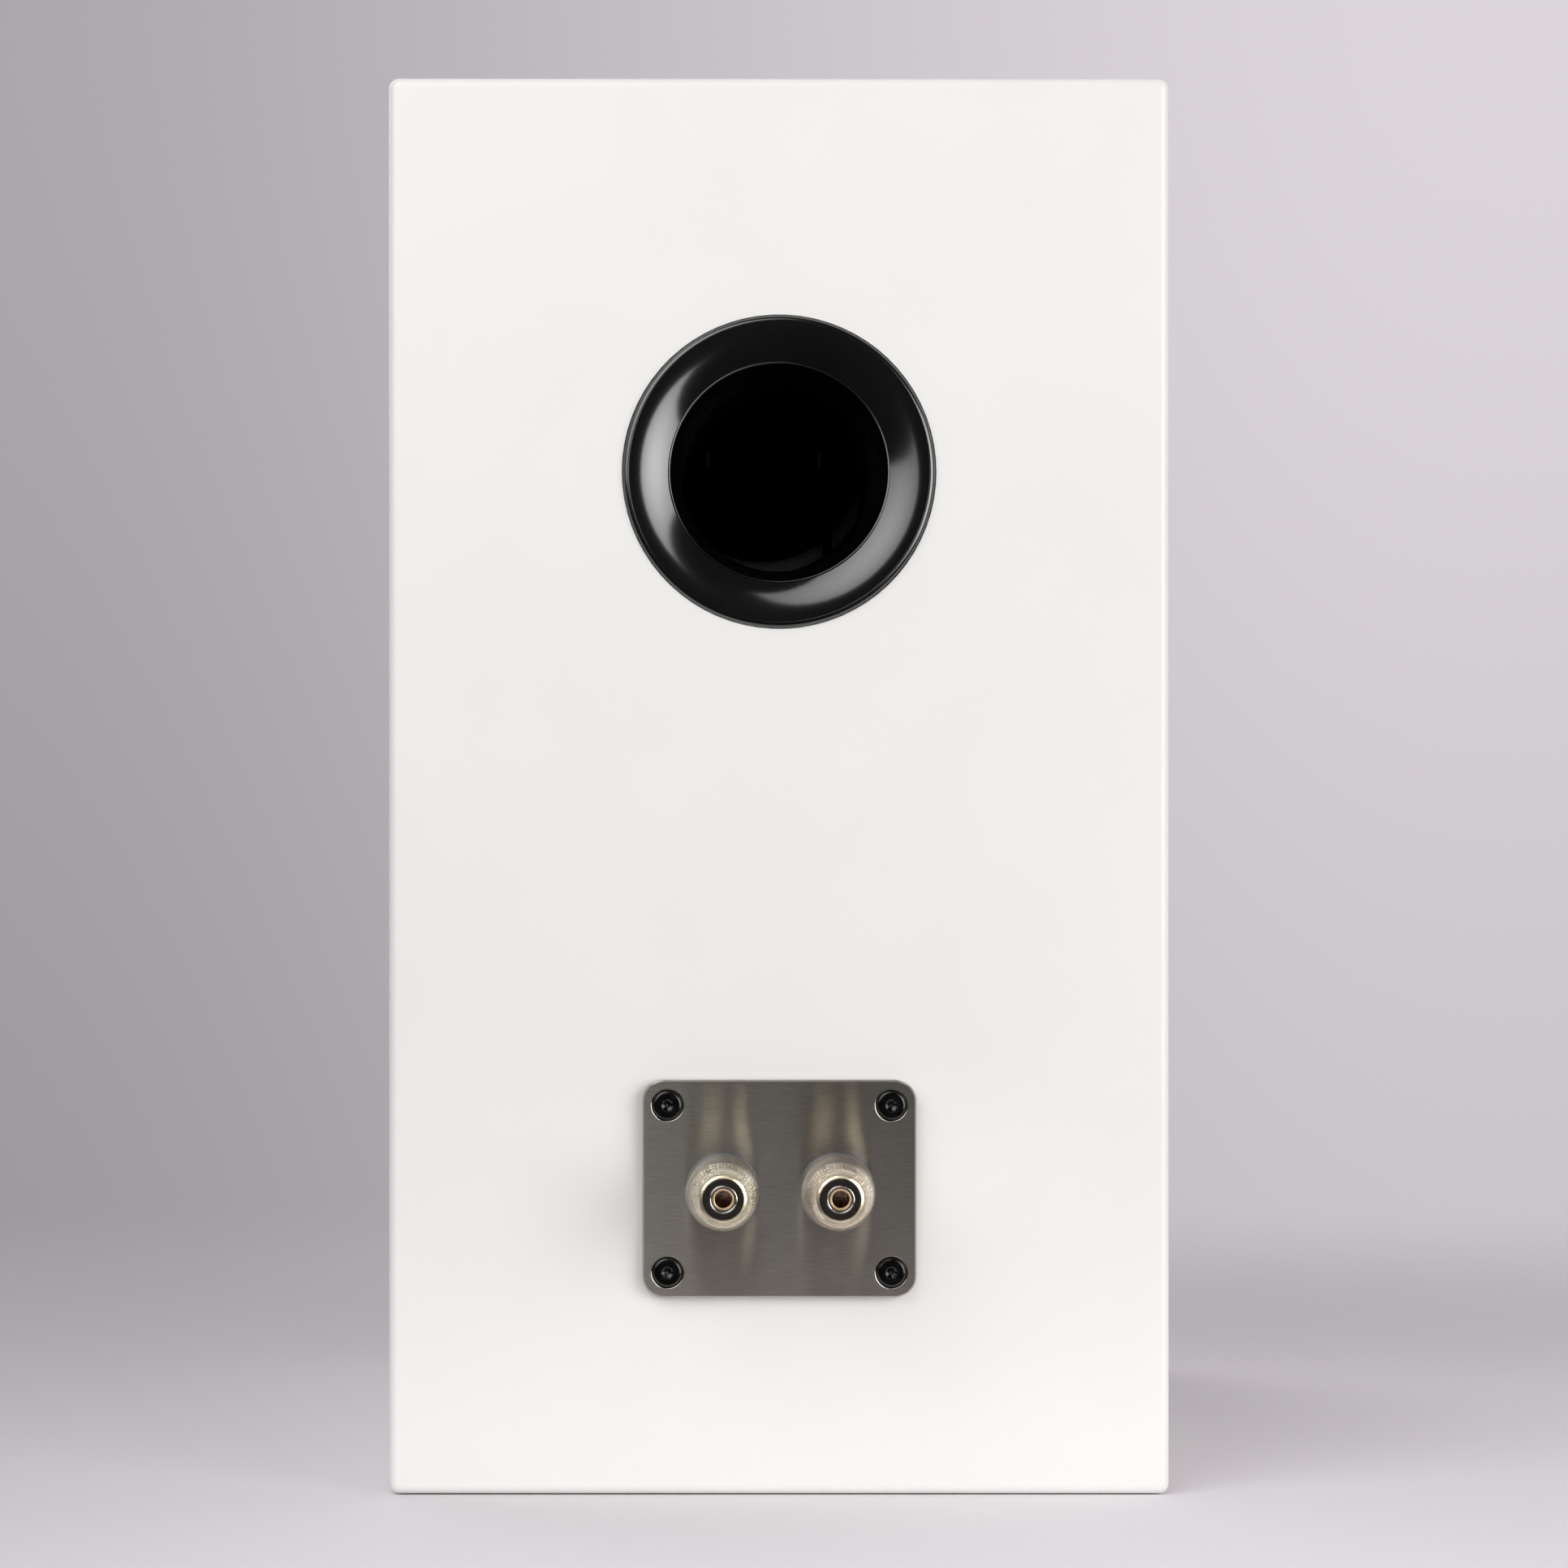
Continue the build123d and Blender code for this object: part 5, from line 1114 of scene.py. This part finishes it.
low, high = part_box("tweeter_surround")
silk_rim = (high.x - low.x) / 2
silk_middle = DOME_HEM + SILK_ROLL + SILK_SHEET
outline = roll_outline(DOME_HEM, silk_rim, silk_middle, SILK_ROLL, SILK_SHEET, high.y)
silk_shape = turned(outline, tweeter_axis, SILK_STEPS)
silk = finish_piece("tweeter_surround_roll", silk_shape, "dome_silk", "tweeter_surround")
soft_ring(silk, tweeter_axis, "dome_unit", silk_middle - SILK_ROLL, silk_middle + SILK_ROLL)

# %% [markdown]
# ## Dome and spider
# The dome is a cap of coated silk, and the spider a pleated cotton disc that centres the voice coil. Both
# are thin sheets pressed in a mould. A subdivided sphere would have a bad pole and no hem, so the dome is
# spun from two arcs that end on the axis, and the spider from its pleats, a sine wave between two flat
# hems.

# %% Pressed cloth
DOME_STEPS = 18
PLEATS = 4
PLEAT_STEPS = 48
PLEAT_HEIGHT = 1.4 * MM
PLEAT_START = 16.9 * MM
PLEAT_END = 45.0 * MM
COTTON_SHEET = 0.6 * MM
COTTON_STEPS = 96
HUB_GAP = 0.05 * MM


def cap(radius, rise, edge):
    """Points (radius, y) of a domed line from the axis to its edge, bulging towards -Y."""
    sphere = (radius ** 2 + rise ** 2) / (2 * rise)
    reach = math.asin(radius / sphere)
    return [
        (sphere * math.sin(angle), edge - rise + sphere * (1 - math.cos(angle)))
        for angle in steps_between(0.0, reach, DOME_STEPS)
    ]


low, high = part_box("tweeter_dome")
dome_radius = (high.x - low.x) / 2
dome_rise = high.y - low.y
inside = cap(dome_radius - SILK_SHEET, dome_rise - SILK_SHEET, high.y)
dome_outline = cap(dome_radius, dome_rise, high.y) + inside[::-1]
dome_shape = turned(dome_outline, tweeter_axis, SILK_STEPS, closed=False)
dome = finish_piece("tweeter_dome_cap", dome_shape, "dome_silk", "tweeter_dome")
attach(dome, "dome_unit")

low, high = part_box("woofer_spider")
spider_rim = (high.x - low.x) / 2
spider_hub = (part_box("woofer_former")[1].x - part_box("woofer_former")[0].x) / 2 + HUB_GAP
spider_front = (low.y + high.y - COTTON_SHEET) / 2


def pleats(y):
    """Points (radius, y) of the pleated line from the hub to the rim."""
    line = [(spider_hub, y)]
    for step in range(PLEAT_STEPS + 1):
        radius = PLEAT_START + (PLEAT_END - PLEAT_START) * step / PLEAT_STEPS
        line.append((radius, y + PLEAT_HEIGHT * math.sin(math.tau * PLEATS * step / PLEAT_STEPS)))
    return line + [(spider_rim, y)]


spider_outline = pleats(spider_front) + pleats(spider_front + COTTON_SHEET)[::-1]
spider_shape = turned(spider_outline, woofer_axis, COTTON_STEPS)
spider = finish_piece("woofer_spider_cloth", spider_shape, "spider_cloth", "woofer_spider")
soft_ring(spider, woofer_axis, "cone_unit", PLEAT_START, PLEAT_END)

# %% [markdown]
# ## Tinsel leads
# Two limp braided leads carry the current from the frame to the moving cone, so each hangs in a slack
# loop. A bevelled curve is the quickest wire, and a blended piece has to be a mesh, so the curve is read
# once as a mesh. Its points blend along a straight line from the frame to the cone.

# %% Braided leads
TINSEL_RADIUS = 0.6 * MM
LEAD_SIDE = 8.0
# Points (y, z) of the route in millimetres, from the frame to the cone.
LEAD_ROUTE = (
    (-92.0, 68.0),
    (-104.0, 67.8),
    (-116.6, 70.0),
    (-117.0, 88.0),
    (-116.4, 108.0),
    (-123.7, 112.5),
)

braid = bpy.data.curves.new("tinsel_route", "CURVE")
braid.dimensions = "3D"
braid.bevel_depth = TINSEL_RADIUS
braid.bevel_resolution = 3
braid.use_fill_caps = True
for side in (-LEAD_SIDE, LEAD_SIDE):
    line = braid.splines.new("NURBS")
    line.points.add(len(LEAD_ROUTE) - 1)
    for point, (y, z) in zip(line.points, LEAD_ROUTE):
        point.co = (side * MM, y * MM, z * MM, 1.0)
    line.order_u = 3
    line.use_endpoint_u = True
route = bpy.data.objects.new("tinsel_route", braid)
scene.collection.objects.link(route)
tubes = bmesh.new()
tubes.from_mesh(bpy.data.meshes.new_from_object(route))
bpy.data.objects.remove(route)
bmesh.ops.remove_doubles(tubes, verts=tubes.verts, dist=WELD_DISTANCE)
bmesh.ops.recalc_face_normals(tubes, faces=tubes.faces)
tinsel = finish_piece("tinsel_braids", tubes, "copper_wire", "tinsel_leads")
first = Vector((0, LEAD_ROUTE[1][0] * MM, LEAD_ROUTE[1][1] * MM))
last = Vector((0, LEAD_ROUTE[-2][0] * MM, LEAD_ROUTE[-2][1] * MM))
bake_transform(tinsel, "cabinet", "cone_unit", start=first, end=last)

# %% [markdown]
# ## Foam seals
# Foam rings sit under the plate and under both drivers. Their outline is a flat cut sheet, which the CAD
# model has exactly, but pressed foam has round edges. A copy of the CAD mesh, merged and bevelled, keeps
# the outline with every screw hole and gets the soft edge.

# %% Soft edged seals
SEAL_EDGE = 0.2 * MM
SEAL_CREASE = math.radians(60)
SEAL_FLAT = math.radians(1)
SEAL_WELD = 1e-6

for seal in ("terminal_gasket", "woofer_gasket", "tweeter_gasket"):
    sheet = bmesh.new()
    sheet.from_mesh(nodes[seal].data)
    bmesh.ops.remove_doubles(sheet, verts=sheet.verts, dist=SEAL_WELD)
    bmesh.ops.dissolve_limit(sheet, angle_limit=SEAL_FLAT, verts=sheet.verts, edges=sheet.edges)
    rims = [line for line in sheet.edges if line.is_manifold and line.calc_face_angle() > SEAL_CREASE]
    bmesh.ops.bevel(
        sheet, geom=rims, offset=SEAL_EDGE, affect="EDGES", segments=2, profile=0.5, material=-1
    )
    foam = finish_piece(seal.replace("gasket", "foam"), sheet, "seal_foam", seal)
    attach(foam, "cabinet")

# %% [markdown]
# ## Felt pads
# Two felt pads are glued to the side walls inside. Felt is a stuffed, springy sheet: its face is crowned
# and its edges are round, and only the glued side is flat. A subdivided box, smoothed everywhere but on
# its glued side, gives that at once, and a cloth simulation would add nothing to a stiff pad that nobody
# presses.

# %% Felt pads
PAD_THICKNESS = 12.0 * MM
PAD_CUTS = 13
PAD_SMOOTHING = 12
GLUE_MARGIN = 0.1 * MM

low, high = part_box("damping_pads")
pads = bmesh.new()
for side in (-1, 1):
    pad = bmesh.ops.create_cube(pads, size=1.0)["verts"]
    span = (PAD_THICKNESS, high.y - low.y, high.z - low.z)
    bmesh.ops.scale(pads, verts=pad, vec=span)
    wall = high.x if side > 0 else low.x
    middle = Vector((wall - side * PAD_THICKNESS / 2, (low.y + high.y) / 2, (low.z + high.z) / 2))
    bmesh.ops.translate(pads, verts=pad, vec=middle)
bmesh.ops.subdivide_edges(pads, edges=pads.edges, cuts=PAD_CUTS, use_grid_fill=True)
loose = [vertex for vertex in pads.verts if abs(vertex.co.x) < high.x - GLUE_MARGIN]
for smoothing in range(PAD_SMOOTHING):
    bmesh.ops.smooth_vert(
        pads, verts=loose, factor=0.5, use_axis_x=True, use_axis_y=True, use_axis_z=True
    )
felt = finish_piece("damping_felt", pads, "felt", "damping_pads", sharp=60.0)
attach(felt, "cabinet")
